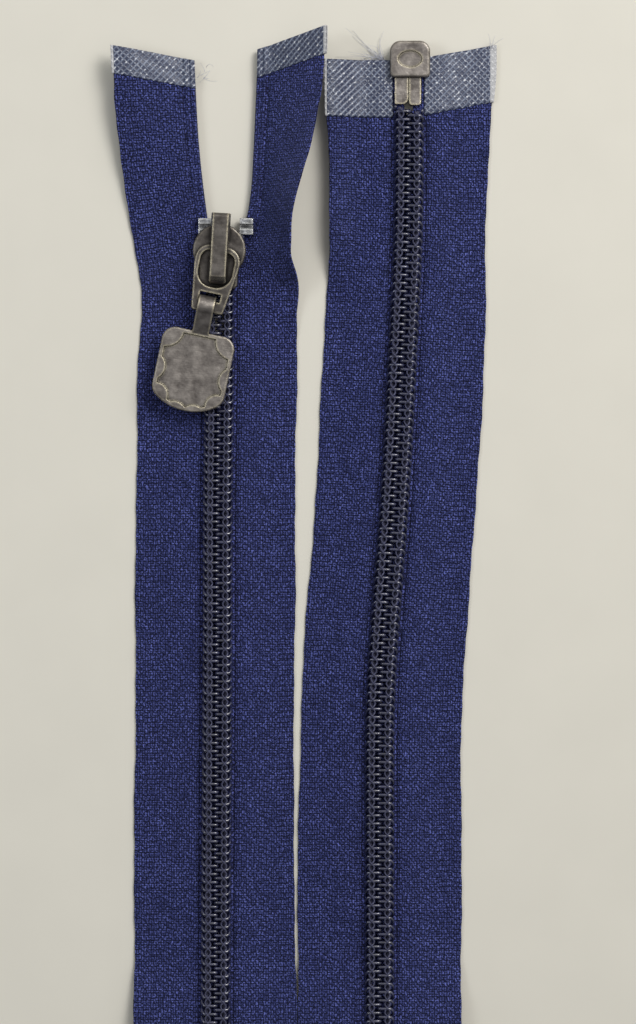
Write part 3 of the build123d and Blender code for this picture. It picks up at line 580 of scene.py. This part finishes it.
def aged_metal(name, base, edge_colour, dark, roughness, patch=420.0):
    """Plated zinc: the edge colour on its edges, painted shade in its hollows, cloudy patches of the dark
    colour and fine scratches. On brass and steel the edges show wear and the patches are tarnished; on the
    top stops the edges are painted highlight and the patches painted reflection. patch is the cloudy patches
    to a metre."""
    material, tree, shader = fresh_material(name)
    place = add_node(tree, "ShaderNodeTexCoord").outputs["Object"]
    rounded = add_node(tree, "ShaderNodeBevel", {"samples": 4}, Radius=0.35 * MM).outputs[0]
    flat = add_node(tree, "ShaderNodeNewGeometry").outputs["Normal"]
    wide = add_node(tree, "ShaderNodeBevel", {"samples": 6}, Radius=0.75 * MM).outputs[0]
    edge = stretched(tree, likeness(tree, wide, flat), 0.985, 0.86)
    cloud = noise(tree, place, patch, 4.0, 0.6)
    grain = noise(tree, place, 2600.0, 3.0, 0.6)
    scratch = noise(tree, scaled(tree, place, 600.0, 5200.0, 600.0, 24.0), 1.0, 2.0)
    hollow = add_node(tree, "ShaderNodeAmbientOcclusion", {"samples": 4}, Distance=0.9 * MM).outputs["AO"]
    cloud_tone_and_hollow_shade = mixed(tree, stretched(tree, cloud, 0.34, 0.66), dark, base)
    # Painted shade: in the hollows found by the ambient occlusion, the colour darkens to a near-black share
    # of the dark colour.
    cloud_tone_and_hollow_shade = mixed(tree, stretched(tree, hollow, 0.5, 0.97), shaded(dark, 0.12), cloud_tone_and_hollow_shade)
    # The edge colour is wear on the brass and steel, and painted highlight on the top stops.
    edge_share = maths(tree, "MULTIPLY", edge, stretched(tree, grain, 0.3, 0.6, 0.45, 1.0))
    edge_share = maths(tree, "MULTIPLY", edge_share, stretched(tree, hollow, 0.6, 0.85))
    colour = mixed(tree, edge_share, cloud_tone_and_hollow_shade, edge_colour)
    tree.links.new(colour, shader.inputs["Base Color"])
    shader.inputs["Metallic"].default_value = 0.85
    rough = stretched(tree, grain, 0.3, 0.7, roughness - 0.07, roughness + 0.1)
    rough = maths(tree, "MULTIPLY_ADD", scratch, 0.08, rough)
    tree.links.new(rough, shader.inputs["Roughness"])
    relief = maths(tree, "ADD", maths(tree, "MULTIPLY", grain, 0.5), scratch)
    dents = bump(tree, cloud, 0.16, 0.7, rounded)
    tree.links.new(bump(tree, relief, 0.03, 0.7, dents), shader.inputs["Normal"])
    return material


# Settings


class ZipSizes(bpy.types.PropertyGroup):
    coil_pitch: FloatProperty(name="Coil pitch", description="Between neighbouring turns of one coil",
                              default=1.575 * MM, unit="LENGTH", precision=5)
    wire: FloatProperty(name="Wire", description="Diameter of the coil's nylon wire",
                        default=0.66 * MM, unit="LENGTH", precision=5)
    head_reach: FloatProperty(name="Head reach", description="From a turn's head across the centre line",
                              default=0.56 * MM, unit="LENGTH", precision=5)
    coil_half_width: FloatProperty(name="Coil half width", description="Centre line to a coil's outer side",
                                   default=2.95 * MM, unit="LENGTH", precision=5)
    thread: FloatProperty(name="Thread", description="Diameter of the sewing thread",
                          default=0.3 * MM, unit="LENGTH", precision=5)
    yarn_spacing: FloatProperty(name="Yarn spacing", description="Between neighbouring yarns of the tape",
                                default=0.48 * MM, unit="LENGTH", precision=5)
    yarn_length: FloatProperty(name="Yarn float", description="Length of one yarn float on the tape",
                               default=1.0 * MM, unit="LENGTH", precision=5)
    film_cell: FloatProperty(name="Film cell", description="Between neighbouring threads of the film's net",
                             default=0.86 * MM, unit="LENGTH", precision=5)
    film_overhang: FloatProperty(name="Film overhang", description="Bare film past the selvedge",
                                 default=0.42 * MM, unit="LENGTH", precision=5)
    tape_step: FloatProperty(name="Tape step", description="Spacing of the tape's mesh along its length",
                             default=0.8 * MM, unit="LENGTH", precision=5)
    fibres: IntProperty(name="Loose fibres", description="Fibres in the largest tuft", default=34, min=1)


def colour_property(name, description, default):
    return FloatVectorProperty(name=name, description=description, default=default, subtype="COLOR",
                               size=3, min=0.0, max=1.0)


class ZipColours(bpy.types.PropertyGroup):
    tape: colour_property("Tape", "Body of the tape's yarn", (0.015, 0.021, 0.105))
    # The tape's crown colour is painted highlight on the yarn tops, and its gap colour is painted shade
    # between the yarns.
    tape_crown_highlight: colour_property("Tape light", "Crown of the tape's yarn", (0.13, 0.157, 0.5))
    tape_gap_shade: colour_property("Tape gap", "Between the yarns", (0.0015, 0.0015, 0.018))
    coil: colour_property("Coil", "Coil wire", (0.006, 0.007, 0.024))
    coil_light: colour_property("Coil light", "Paler stretches of the coil wire", (0.024, 0.027, 0.075))
    thread: colour_property("Thread", "Sewing thread", (0.014, 0.015, 0.045))
    thread_light: colour_property("Thread light", "Crown of the sewing thread", (0.055, 0.06, 0.125))
    cord: colour_property("Core cord", "Filler cord in the coil", (0.012, 0.012, 0.045))
    film: colour_property("Film", "Film cells", (0.026, 0.036, 0.085))
    film_dark: colour_property("Film dark", "Dark film cells", (0.012, 0.015, 0.042))
    film_thread: colour_property("Film net", "Net in the film", (0.225, 0.26, 0.345))
    film_bare: colour_property("Bare film", "Film past the selvedge", (0.45, 0.45, 0.46))
    brass: colour_property("Metal", "Aged metal", (0.28, 0.254, 0.232))
    brass_dark: colour_property("Metal dark", "Tarnish on the aged metal", (0.11, 0.097, 0.09))
    brass_worn: colour_property("Metal worn", "Worn edges of the aged metal", (0.68, 0.61, 0.44))
    stop: colour_property("Top stop", "Top stops", (0.6, 0.61, 0.64))
    steel: colour_property("Lock", "Locking pawl and its spring", (0.35, 0.34, 0.32))


class ZipStage(bpy.types.PropertyGroup):
    camera_distance: FloatProperty(name="Camera distance", description="Camera above the zip",
                                   default=0.9, unit="LENGTH")
    picture_height: FloatProperty(name="Picture height", description="Length of table in view",
                                  default=196.9 * MM, unit="LENGTH")
    picture_centre: FloatVectorProperty(name="Picture centre", description="Table point in the middle",
                                        default=(2.66 * MM, 22.08 * MM), size=2, unit="LENGTH")
    key_power: FloatProperty(name="Key light", description="Power of the large soft light",
                             default=2.9, unit="POWER")
    fill: FloatProperty(name="Fill", description="Strength of the light from all round", default=0.4)
    floor: colour_property("Floor", "Pale table", (0.665, 0.638, 0.56))


# Pieces


def tape_rings(side):
    """Lengths for the tape's rings: even, and closer together over the two creases."""
    start = u_at_top(side, TOP_END[side])
    end = u_at_bottom(BOTTOM_END_Y)
    step = bpy.context.scene.zip_sizes.tape_step / MM
    creases = (LEFT_RUN, LEFT_RUN + RUN_PITCH)
    stops = [start, creases[0] - 2, creases[0] + 2, creases[1] - 2, creases[1] + 2, end]
    steps = [step, 0.16, step, 0.16, step]
    spans = [np.linspace(a, b, int((b - a) / s) + 2)[:-1] for a, b, s in zip(stops, stops[1:], steps)]
    return np.concatenate([*spans, [end]])


def ring_slant(v, side, reach):
    """How far a ring's length changes across the tape: it leans into line with each crease near
    the fold and with each cut at the ends."""
    first, second = LEFT_RUN, LEFT_RUN + RUN_PITCH
    lean = np.interp(v, [first - 40, first, second, second + 40], [0, 1, -1, 0])
    start, end = v[0, 0], v[-1, 0]
    top = TOP_SLANT[side] * (1 - smooth_rise(v, start, start + 15))
    bottom = BOTTOM_SLANT[side] * smooth_rise(v, end - 15, end)
    return side * reach * lean + (reach - TAPE_EDGE) * (bottom - top)


def tape_columns():
    """Distances from the chain's centre line: close together over the beaded edge and the selvedge."""
    bead = np.linspace(TAPE_EDGE, 3.6, 20)
    middle = np.linspace(4.3, TAPE_OUT - 0.7, 15)
    selvedge = TAPE_OUT - np.array([0.35, 0.15, 0.05, 0.0])
    return np.concatenate([bead, middle, selvedge])


def bead_relief(u, reach):
    """Two beads along the free chain edge of a leaf, each half a sine wave."""
    free = smooth_rise(-u, 12.5, 15.5)
    return free * BEAD_HEIGHT * np.abs(np.sin(np.clip((reach - TAPE_EDGE) / BEAD_WIDTH, 0, 2) * math.pi))


def hump(u, middle, width):
    """One smooth hump: e to the minus square of the distance from its middle."""
    return np.exp(-((u - middle) / width) ** 2)


def selvedge_shift(u, reach, side):
    """How far the tape's outer part is drawn in or let out, in millimetres, where it cups a little.
    It grows from nothing near the chain to all of it at the selvedge."""
    if side > 0:
        near = DRAWN_LEFT * smooth_rise(u, -6.0, 4.0) * (1 - smooth_rise(u, 100.0, 145.0))
        out = -near - DRAWN_RIGHT * smooth_rise(u, 245.0, 278.0) * (1 - smooth_rise(u, 372.0, 392.0))
    else:
        dips = DRAWN_OUTER * hump(u, 368.0, 12.0) + DRAWN_OUTER * hump(u, 2.0, 8.0)
        out = LET_OUT * smooth_rise(u, 385.0, 397.0) - dips
    return out * smooth_rise(reach, 4.5, TAPE_OUT)


def build_tape(name, side):
    """One tape as a closed slab. Its top is level, pinched to rounded edges, with the beads along
    the leaf's chain edge and a groove beside the dense band. Its width wavers by three sine waves."""
    v, reach = np.meshgrid(tape_rings(side), tape_columns(), indexing="ij")
    u = v + ring_slant(v, side, reach)
    end = v[-1, 0]
    waver = 0.1 * np.sin(u / 7.3) + 0.07 * np.sin(u / 3.1 + 1.7) + 0.05 * np.sin(u / 0.9)
    wide = reach + waver * smooth_rise(reach, 8.0, TAPE_OUT) + selvedge_shift(u, reach, side)
    under_coil = smooth_rise(u, 14.0, 22.0) * (1 - smooth_rise(u, end - 10.5, end - 9.5))
    wide = wide - EDGE_UNDER_COIL * under_coil * (1 - smooth_rise(reach, TAPE_EDGE, 2.4))
    rim = np.minimum(reach - TAPE_EDGE, TAPE_OUT - reach)
    plump = np.sqrt(np.clip(1 - (1 - np.clip(rim / 0.3, 0, 1)) ** 2, 0.0, 1.0))
    thick = BAND_THICK + (MARGIN_THICK - BAND_THICK) * smooth_rise(reach, 4.2, 5.0)
    groove = np.where((reach > GROOVE[0]) & (reach < GROOVE[1]), -GROOVE_DEPTH, 0.0)
    relief = groove + bead_relief(u, reach) + 0.05 * np.sin(u / 2.6) * np.sin(reach / 2.2)
    middle = thick / 2
    high = middle + (thick / 2 + relief) * plump
    low = middle - (thick / 2) * plump
    low[:, [0, -1]] -= 0.02
    points, faces, places = slab(u, side * wide, low, high, side)
    tape = new_piece(name, points, faces, places)
    return tape, float(v[-1, 0] - v[0, 0])


def coil_line(side):
    """One coil's line: turn after turn, in along the upper leg, round the head, back along the
    lower leg and over to the next turn on the outer side."""
    sizes = bpy.context.scene.zip_sizes
    pitch, wire = sizes.coil_pitch / MM, sizes.wire / MM
    head, out = -sizes.head_reach / MM, sizes.coil_half_width / MM - wire / 2
    top, low = COIL_TOP_H - wire / 2, BAND_THICK + wire / 2
    middle = (top + low) / 2
    reach = np.array([out - 0.45, 1.5, 0.35, head + 0.5, head + 0.33, head + 0.5,
                      0.6, 1.6, out - 0.2, out, out - 0.04])
    height = np.array([top - 0.02, top, top, top - 0.08, middle, low + 0.08,
                       low, low, low + 0.05, low + 0.5, top - 0.35])
    on = np.array([0.0, 0, 0, 0, 0, 0, 0, 0.02, 0.12, 0.4, 0.72]) * pitch
    size = np.array([1.0, 1, 1.02, 1.12, 1.15, 1.1, 1, 1, 1, 1, 1]) * wire / 2
    first = u_at_top(1, COIL_TOP_Y)
    span = u_at_bottom(COIL_BOTTOM_Y) - 0.1 * pitch - first
    turns = round(span / pitch)
    pitch = span / turns
    first += 0.0 if side < 0 else pitch / 2
    u = (first + pitch * np.arange(turns)[:, None] + on[None, :]).ravel()
    return u, side * np.tile(reach, turns), np.tile(height, turns), np.tile(size, turns) * MM


def build_coil(name, side):
    """One coil as a single tube along its line."""
    u, t, h, radius = coil_line(side)
    shell, faces, places = tube_on_zip(u, t, h, side, radius, 6, False)
    return new_piece(name, shell, faces, places)


def build_stitching(name, side):
    """Two threads that cross over every turn of the coil, and a row on the tape's back.
    Each is a sine wave across, with half a wave to a turn."""
    sizes = bpy.context.scene.zip_sizes
    pitch, radius = sizes.coil_pitch / MM, sizes.thread / 2
    u0, _, _, _ = coil_line(side)
    u = np.arange(u0[0] - 0.3 * pitch, u0[-1] - 0.2 * pitch, pitch / 6)
    phase = (u - u0[0]) / pitch
    dip = 0.5 - 0.5 * np.cos(2 * math.pi * phase)
    parts = []
    for swing in (0.5, -0.5):
        reach = 1.5 + swing * np.sin(math.pi * phase)
        height = COIL_TOP_H + 0.05 - 0.3 * dip + 0.05 * np.sign(swing) * np.cos(math.pi * phase)
        parts.append(tube_on_zip(u, side * reach, height, side, radius, 5, True))
    back = 1.85 + 0.25 * np.sin(math.pi * phase)
    parts.append(tube_on_zip(u, side * back, np.full_like(u, -0.02), side, radius * 0.8, 5, True))
    return new_piece(name, *gathered(parts))


def build_cord(name, side):
    """The filler cord as a tube inside the coil."""
    u0, _, _, _ = coil_line(side)
    u = np.arange(u0[0], u0[-1], 0.7)
    across, height = np.full_like(u, side * CORD_AT[0]), np.full_like(u, CORD_AT[1])
    shell = tube_on_zip(u, across, height, side, CORD_RADIUS * MM, 6, True)
    return new_piece(name, *shell)


def build_film(name, side, end, length, slant, near, towards):
    """The film on both faces of a tape's end: two thin slabs between two lines across the tape."""
    overhang = bpy.context.scene.zip_sizes.film_overhang / MM
    columns = tape_columns()
    reach = np.concatenate([columns[columns > near - 0.01], [TAPE_OUT + overhang / 2, TAPE_OUT + overhang]])
    v = np.linspace(end - length, end, 24) if towards > 0 else np.linspace(end, end + length, 24)
    v, reach = np.meshgrid(v, reach, indexing="ij")
    u = v + towards * slant * (reach - TAPE_EDGE)
    wide = side * (reach + selvedge_shift(u, reach, side))
    ruffle = 0.03 * np.sin(u * 2.1 + reach * 1.3) + 0.025 * np.sin(u * 0.9 - reach * 2.7)
    surface = BAND_THICK + bead_relief(u, reach)
    front = slab(u, wide, surface, surface + FILM_THICK + ruffle, side)
    back = slab(u, wide, -0.1 - np.abs(ruffle), 0.0 * u, side)
    return new_piece(name, *gathered([front, back]))


def fibre_parts(rng, root, count, reach, spread, lean):
    """Loose fibres from a root: each a cubic curl whose middle and end wander by random steps."""
    parts = []
    for _ in range(count):
        start = np.array(root) + rng.normal(0, spread, 3) * (1, 1, 0.2)
        aim = np.array(lean) + rng.normal(0, 0.55, 3) * (1, 1, 0.5)
        curl = rng.normal(0, 0.5, (2, 3))
        s = np.linspace(0, 1, 9)[:, None]
        line = start + reach * rng.uniform(0.4, 1.0) * (aim * s + curl[0] * s ** 2 + curl[1] * s ** 3 * 0.6)
        line[:, 2] = np.clip(line[:, 2], 0.2, 11.5)
        points = np.stack([ORIGIN_X + line[:, 0] * MM, ORIGIN_Y + line[:, 1] * MM, line[:, 2] * MM], axis=-1)
        guide = np.tile([0.3, 0.2, 1.0], (9, 1))
        shell, faces = tube_along(points, guide, np.linspace(0.05, 0.02, 9) * MM, 4)
        parts.append((shell, faces, np.zeros((9, 4, 2))))
    return parts


# Frayed tufts: share of the fibres, root, reach, spread of the roots, lean
TUFTS = [
    (1, (31.4, 87.0, 0.8), 3.9, 0.25, (-0.75, 0.75, 0.15)),
    (3, (29.5, 86.8, 0.8), 1.6, 0.6, (-0.4, 0.5, 0.2)),
    (4, (-3.4, 84.0, 1.6), 2.4, 0.7, (0.5, 0.6, 0.3)),
    (4, (52.2, 89.6, 1.0), 1.8, 0.3, (0.3, 0.5, 0.4)),
]


class ZipOperator(bpy.types.Operator):
    """Shared by every step: its settings and its options"""

    bl_options = {"REGISTER", "UNDO"}

    @property
    def sizes(self):
        return bpy.context.scene.zip_sizes

    @property
    def colours(self):
        return bpy.context.scene.zip_colours


class ZIP_OT_tapes(ZipOperator):
    """Weave both tapes along their folded path"""

    bl_idname = "zip.tapes"
    bl_label = "Tapes"

    def execute(self, context):
        material = woven_tape(self.colours, self.sizes)
        for word, side in SIDES.items():
            tape, length = build_tape(word + "_woven_tape", side)
            finish_piece(tape, material, [word + "_tape"])
        return {"FINISHED"}


class ZIP_OT_coils(ZipOperator):
    """Wind both coils and lay their core cords"""

    bl_idname = "zip.coils"
    bl_label = "Coils and cords"

    def execute(self, context):
        nylon = coil_nylon(self.colours)
        yarn = twisted_yarn("core_yarn", self.colours.cord, self.colours.thread, 0.5)
        for word, side in SIDES.items():
            finish_piece(build_coil(word + "_wound_coil", side), nylon, [word + "_coil"])
            finish_piece(build_cord(word + "_filler_cord", side), yarn, [word + "_core_cord"])
        return {"FINISHED"}


class ZIP_OT_stitching(ZipOperator):
    """Sew each coil to its tape"""

    bl_idname = "zip.stitching"
    bl_label = "Stitching"

    def execute(self, context):
        material = twisted_yarn("sewing_thread", self.colours.thread, self.colours.thread_light, 0.34)
        for word, side in SIDES.items():
            finish_piece(build_stitching(word + "_sewing", side), material, [word + "_stitching"])
        return {"FINISHED"}


class ZIP_OT_films(ZipOperator):
    """Bond the film to the four tape ends"""

    bl_idname = "zip.films"
    bl_label = "End films"

    def execute(self, context):
        material = netted_film(self.colours, self.sizes)
        bottom = u_at_bottom(BOTTOM_END_Y)
        films = [
            ("left_top_film", -1, u_at_top(-1, TOP_END[-1]), TOP_FILM, TOP_SLANT[-1], TAPE_EDGE, -1),
            ("right_top_film", 1, u_at_top(1, TOP_END[1]), TOP_FILM, TOP_SLANT[1], TAPE_EDGE, -1),
            ("left_bottom_film", 1, bottom, BOTTOM_FILM, BOTTOM_SLANT[1], BOTTOM_FILM_INNER, 1),
            ("right_bottom_film", -1, bottom, BOTTOM_FILM, BOTTOM_SLANT[-1], BOTTOM_FILM_INNER, 1),
        ]
        for node, *numbers in films:
            finish_piece(build_film(node + "_bonded", *numbers), material, [node])
        return {"FINISHED"}


class ZIP_OT_fibres(ZipOperator):
    """Fray the cut ends"""

    bl_idname = "zip.fibres"
    bl_label = "Loose fibres"

    def execute(self, context):
        rng = np.random.default_rng(7)
        material = twisted_yarn("loose_fibre", (0.28, 0.3, 0.4), (0.6, 0.6, 0.62), 0.4)
        parts = []
        for fewer, root, reach, spread, lean in TUFTS:
            parts += fibre_parts(rng, root, self.sizes.fibres // fewer, reach, spread, lean)
        finish_piece(new_piece("loose_fibres", *gathered(parts)), material, [])
        return {"FINISHED"}


class ZIP_OT_metal(ZipOperator):
    """Give the metal parts their aged finishes, with painted glints and painted reflections on the top stops
    """

    bl_idname = "zip.metal"
    bl_label = "Metal finishes"

    def execute(self, context):
        colours = self.colours
        brass = aged_metal("aged_brass", colours.brass, colours.brass_worn, colours.brass_dark, 0.36)
        darker = [shaded(colour, 0.55) for colour in (colours.brass, colours.brass_dark)]
        tarnished = aged_metal("tarnished_brass", darker[0], colours.brass_worn, darker[1], 0.32)
        steel = aged_metal("lock_steel", colours.steel, colours.stop, colours.brass_dark, 0.3)
        # Painted reflections on the top stops: the dark colour is near black, so the small cloud patches
        # paint dark reflections, and the white edge colour paints glints on the edges.
        stop_painted_dark = shaded(colours.stop, 0.06)
        bright = aged_metal("stop_metal_painted_glints", colours.stop, (1.0, 1.0, 0.98), stop_painted_dark, 0.14, 900.0)
        finishes = {
            brass: ["pull_tab", "retainer_box", "box_pin", "insertion_pin"],
            tarnished: ["slider_body", "bridge_cap", "pull_link"],
            steel: ["locking_pawl", "lock_spring"],
            bright: ["left_top_stop", "right_top_stop"],
        }
        for material, nodes in finishes.items():
            for node in nodes:
                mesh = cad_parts[node].data
                mesh.materials.clear()
                mesh.materials.append(material)
        return {"FINISHED"}


def soft_light(name, power, size, place, aim, colour):
    """A square area light that looks at a point."""
    data = bpy.data.lights.new(name, "AREA")
    data.energy, data.size, data.color = power, size, colour
    light = bpy.data.objects.new(name, data)
    light.location = place
    light.rotation_euler = (Vector(aim) - Vector(place)).to_track_quat("-Z", "Y").to_euler()
    bpy.context.scene.collection.objects.link(light)
    return light


def plain_floor(colour):
    """A pale table top, faintly mottled."""
    corner = np.array([(-1, -1, 0), (1, -1, 0), (1, 1, 0), (-1, 1, 0)], float) * 1.5
    corner[:, 2] = -0.00002
    floor = new_piece("table_top", corner, np.array([[0, 1, 2, 3]]), smooth=False)
    material, tree, shader = fresh_material("table_paint")
    place = add_node(tree, "ShaderNodeTexCoord").outputs["Object"]
    mottle = stretched(tree, noise(tree, place, 60.0, 4.0), 0.3, 0.7)
    tree.links.new(mixed(tree, mottle, shaded(colour, 0.97), tuple(colour)), shader.inputs["Base Color"])
    shader.inputs["Roughness"].default_value = 0.8
    floor.data.materials.append(material)


class ZIP_OT_stage(ZipOperator):
    """Set the table, the lights and the camera"""

    bl_idname = "zip.stage"
    bl_label = "Stage"

    def execute(self, context):
        scene, stage = context.scene, context.scene.zip_stage
        plain_floor(stage.floor)
        world = bpy.data.worlds.new("studio")
        world.use_nodes = True
        sky = world.node_tree
        way = add_node(sky, "ShaderNodeTexCoord").outputs["Generated"]
        towards = likeness(sky, way, WINDOW_WAY)
        glow = mixed(sky, stretched(sky, towards, 0.1, 0.95), DIM_SKY, BRIGHT_SKY)
        sky.links.new(glow, sky.nodes["Background"].inputs["Color"])
        sky.nodes["Background"].inputs["Strength"].default_value = stage.fill
        scene.world = world
        x, y = stage.picture_centre
        aim = (x, y, 0.0)
        soft_light("key_light", stage.key_power, 0.3, (x + 0.28, y + 0.34, 0.5), aim, (1.0, 0.985, 0.965))
        soft_light("side_light", stage.key_power * 0.2, 0.2, (x - 0.4, y + 0.1, 0.4), aim, (0.9, 0.95, 1.0))
        data = bpy.data.cameras.new("camera")
        data.sensor_width = 36.0
        data.lens = data.sensor_width * stage.camera_distance / stage.picture_height
        data.clip_start = 0.01
        camera = bpy.data.objects.new("camera", data)
        camera.location = (x, y, stage.camera_distance + 0.002)
        scene.collection.objects.link(camera)
        scene.camera = camera
        scene.view_settings.view_transform = "Standard"
        return {"FINISHED"}


STEPS = [ZIP_OT_tapes, ZIP_OT_coils, ZIP_OT_stitching, ZIP_OT_films, ZIP_OT_fibres, ZIP_OT_metal,
         ZIP_OT_stage]


class ZIP_PT_panel(bpy.types.Panel):
    """The steps that make the zip"""

    bl_label = "Zip"
    bl_idname = "ZIP_PT_panel"
    bl_space_type = "VIEW_3D"
    bl_region_type = "UI"
    bl_category = "Zip"

    def draw(self, context):
        for step in STEPS:
            self.layout.operator(step.bl_idname)
        for group in (context.scene.zip_sizes, context.scene.zip_colours, context.scene.zip_stage):
            column = self.layout.column()
            for name in group.__annotations__:
                column.prop(group, name)


CLASSES = [ZipSizes, ZipColours, ZipStage, *STEPS, ZIP_PT_panel]


def register():
    for cls in CLASSES:
        bpy.utils.register_class(cls)
    bpy.types.Scene.zip_sizes = PointerProperty(type=ZipSizes)
    bpy.types.Scene.zip_colours = PointerProperty(type=ZipColours)
    bpy.types.Scene.zip_stage = PointerProperty(type=ZipStage)


def unregister():
    del bpy.types.Scene.zip_stage
    del bpy.types.Scene.zip_colours
    del bpy.types.Scene.zip_sizes
    for cls in reversed(CLASSES):
        bpy.utils.unregister_class(cls)


def main():
    register()
    bpy.ops.zip.tapes()
    bpy.ops.zip.coils()
    bpy.ops.zip.stitching()
    bpy.ops.zip.films()
    bpy.ops.zip.fibres()
    bpy.ops.zip.metal()
    bpy.ops.zip.stage()


if __name__ == "__main__":
    main()
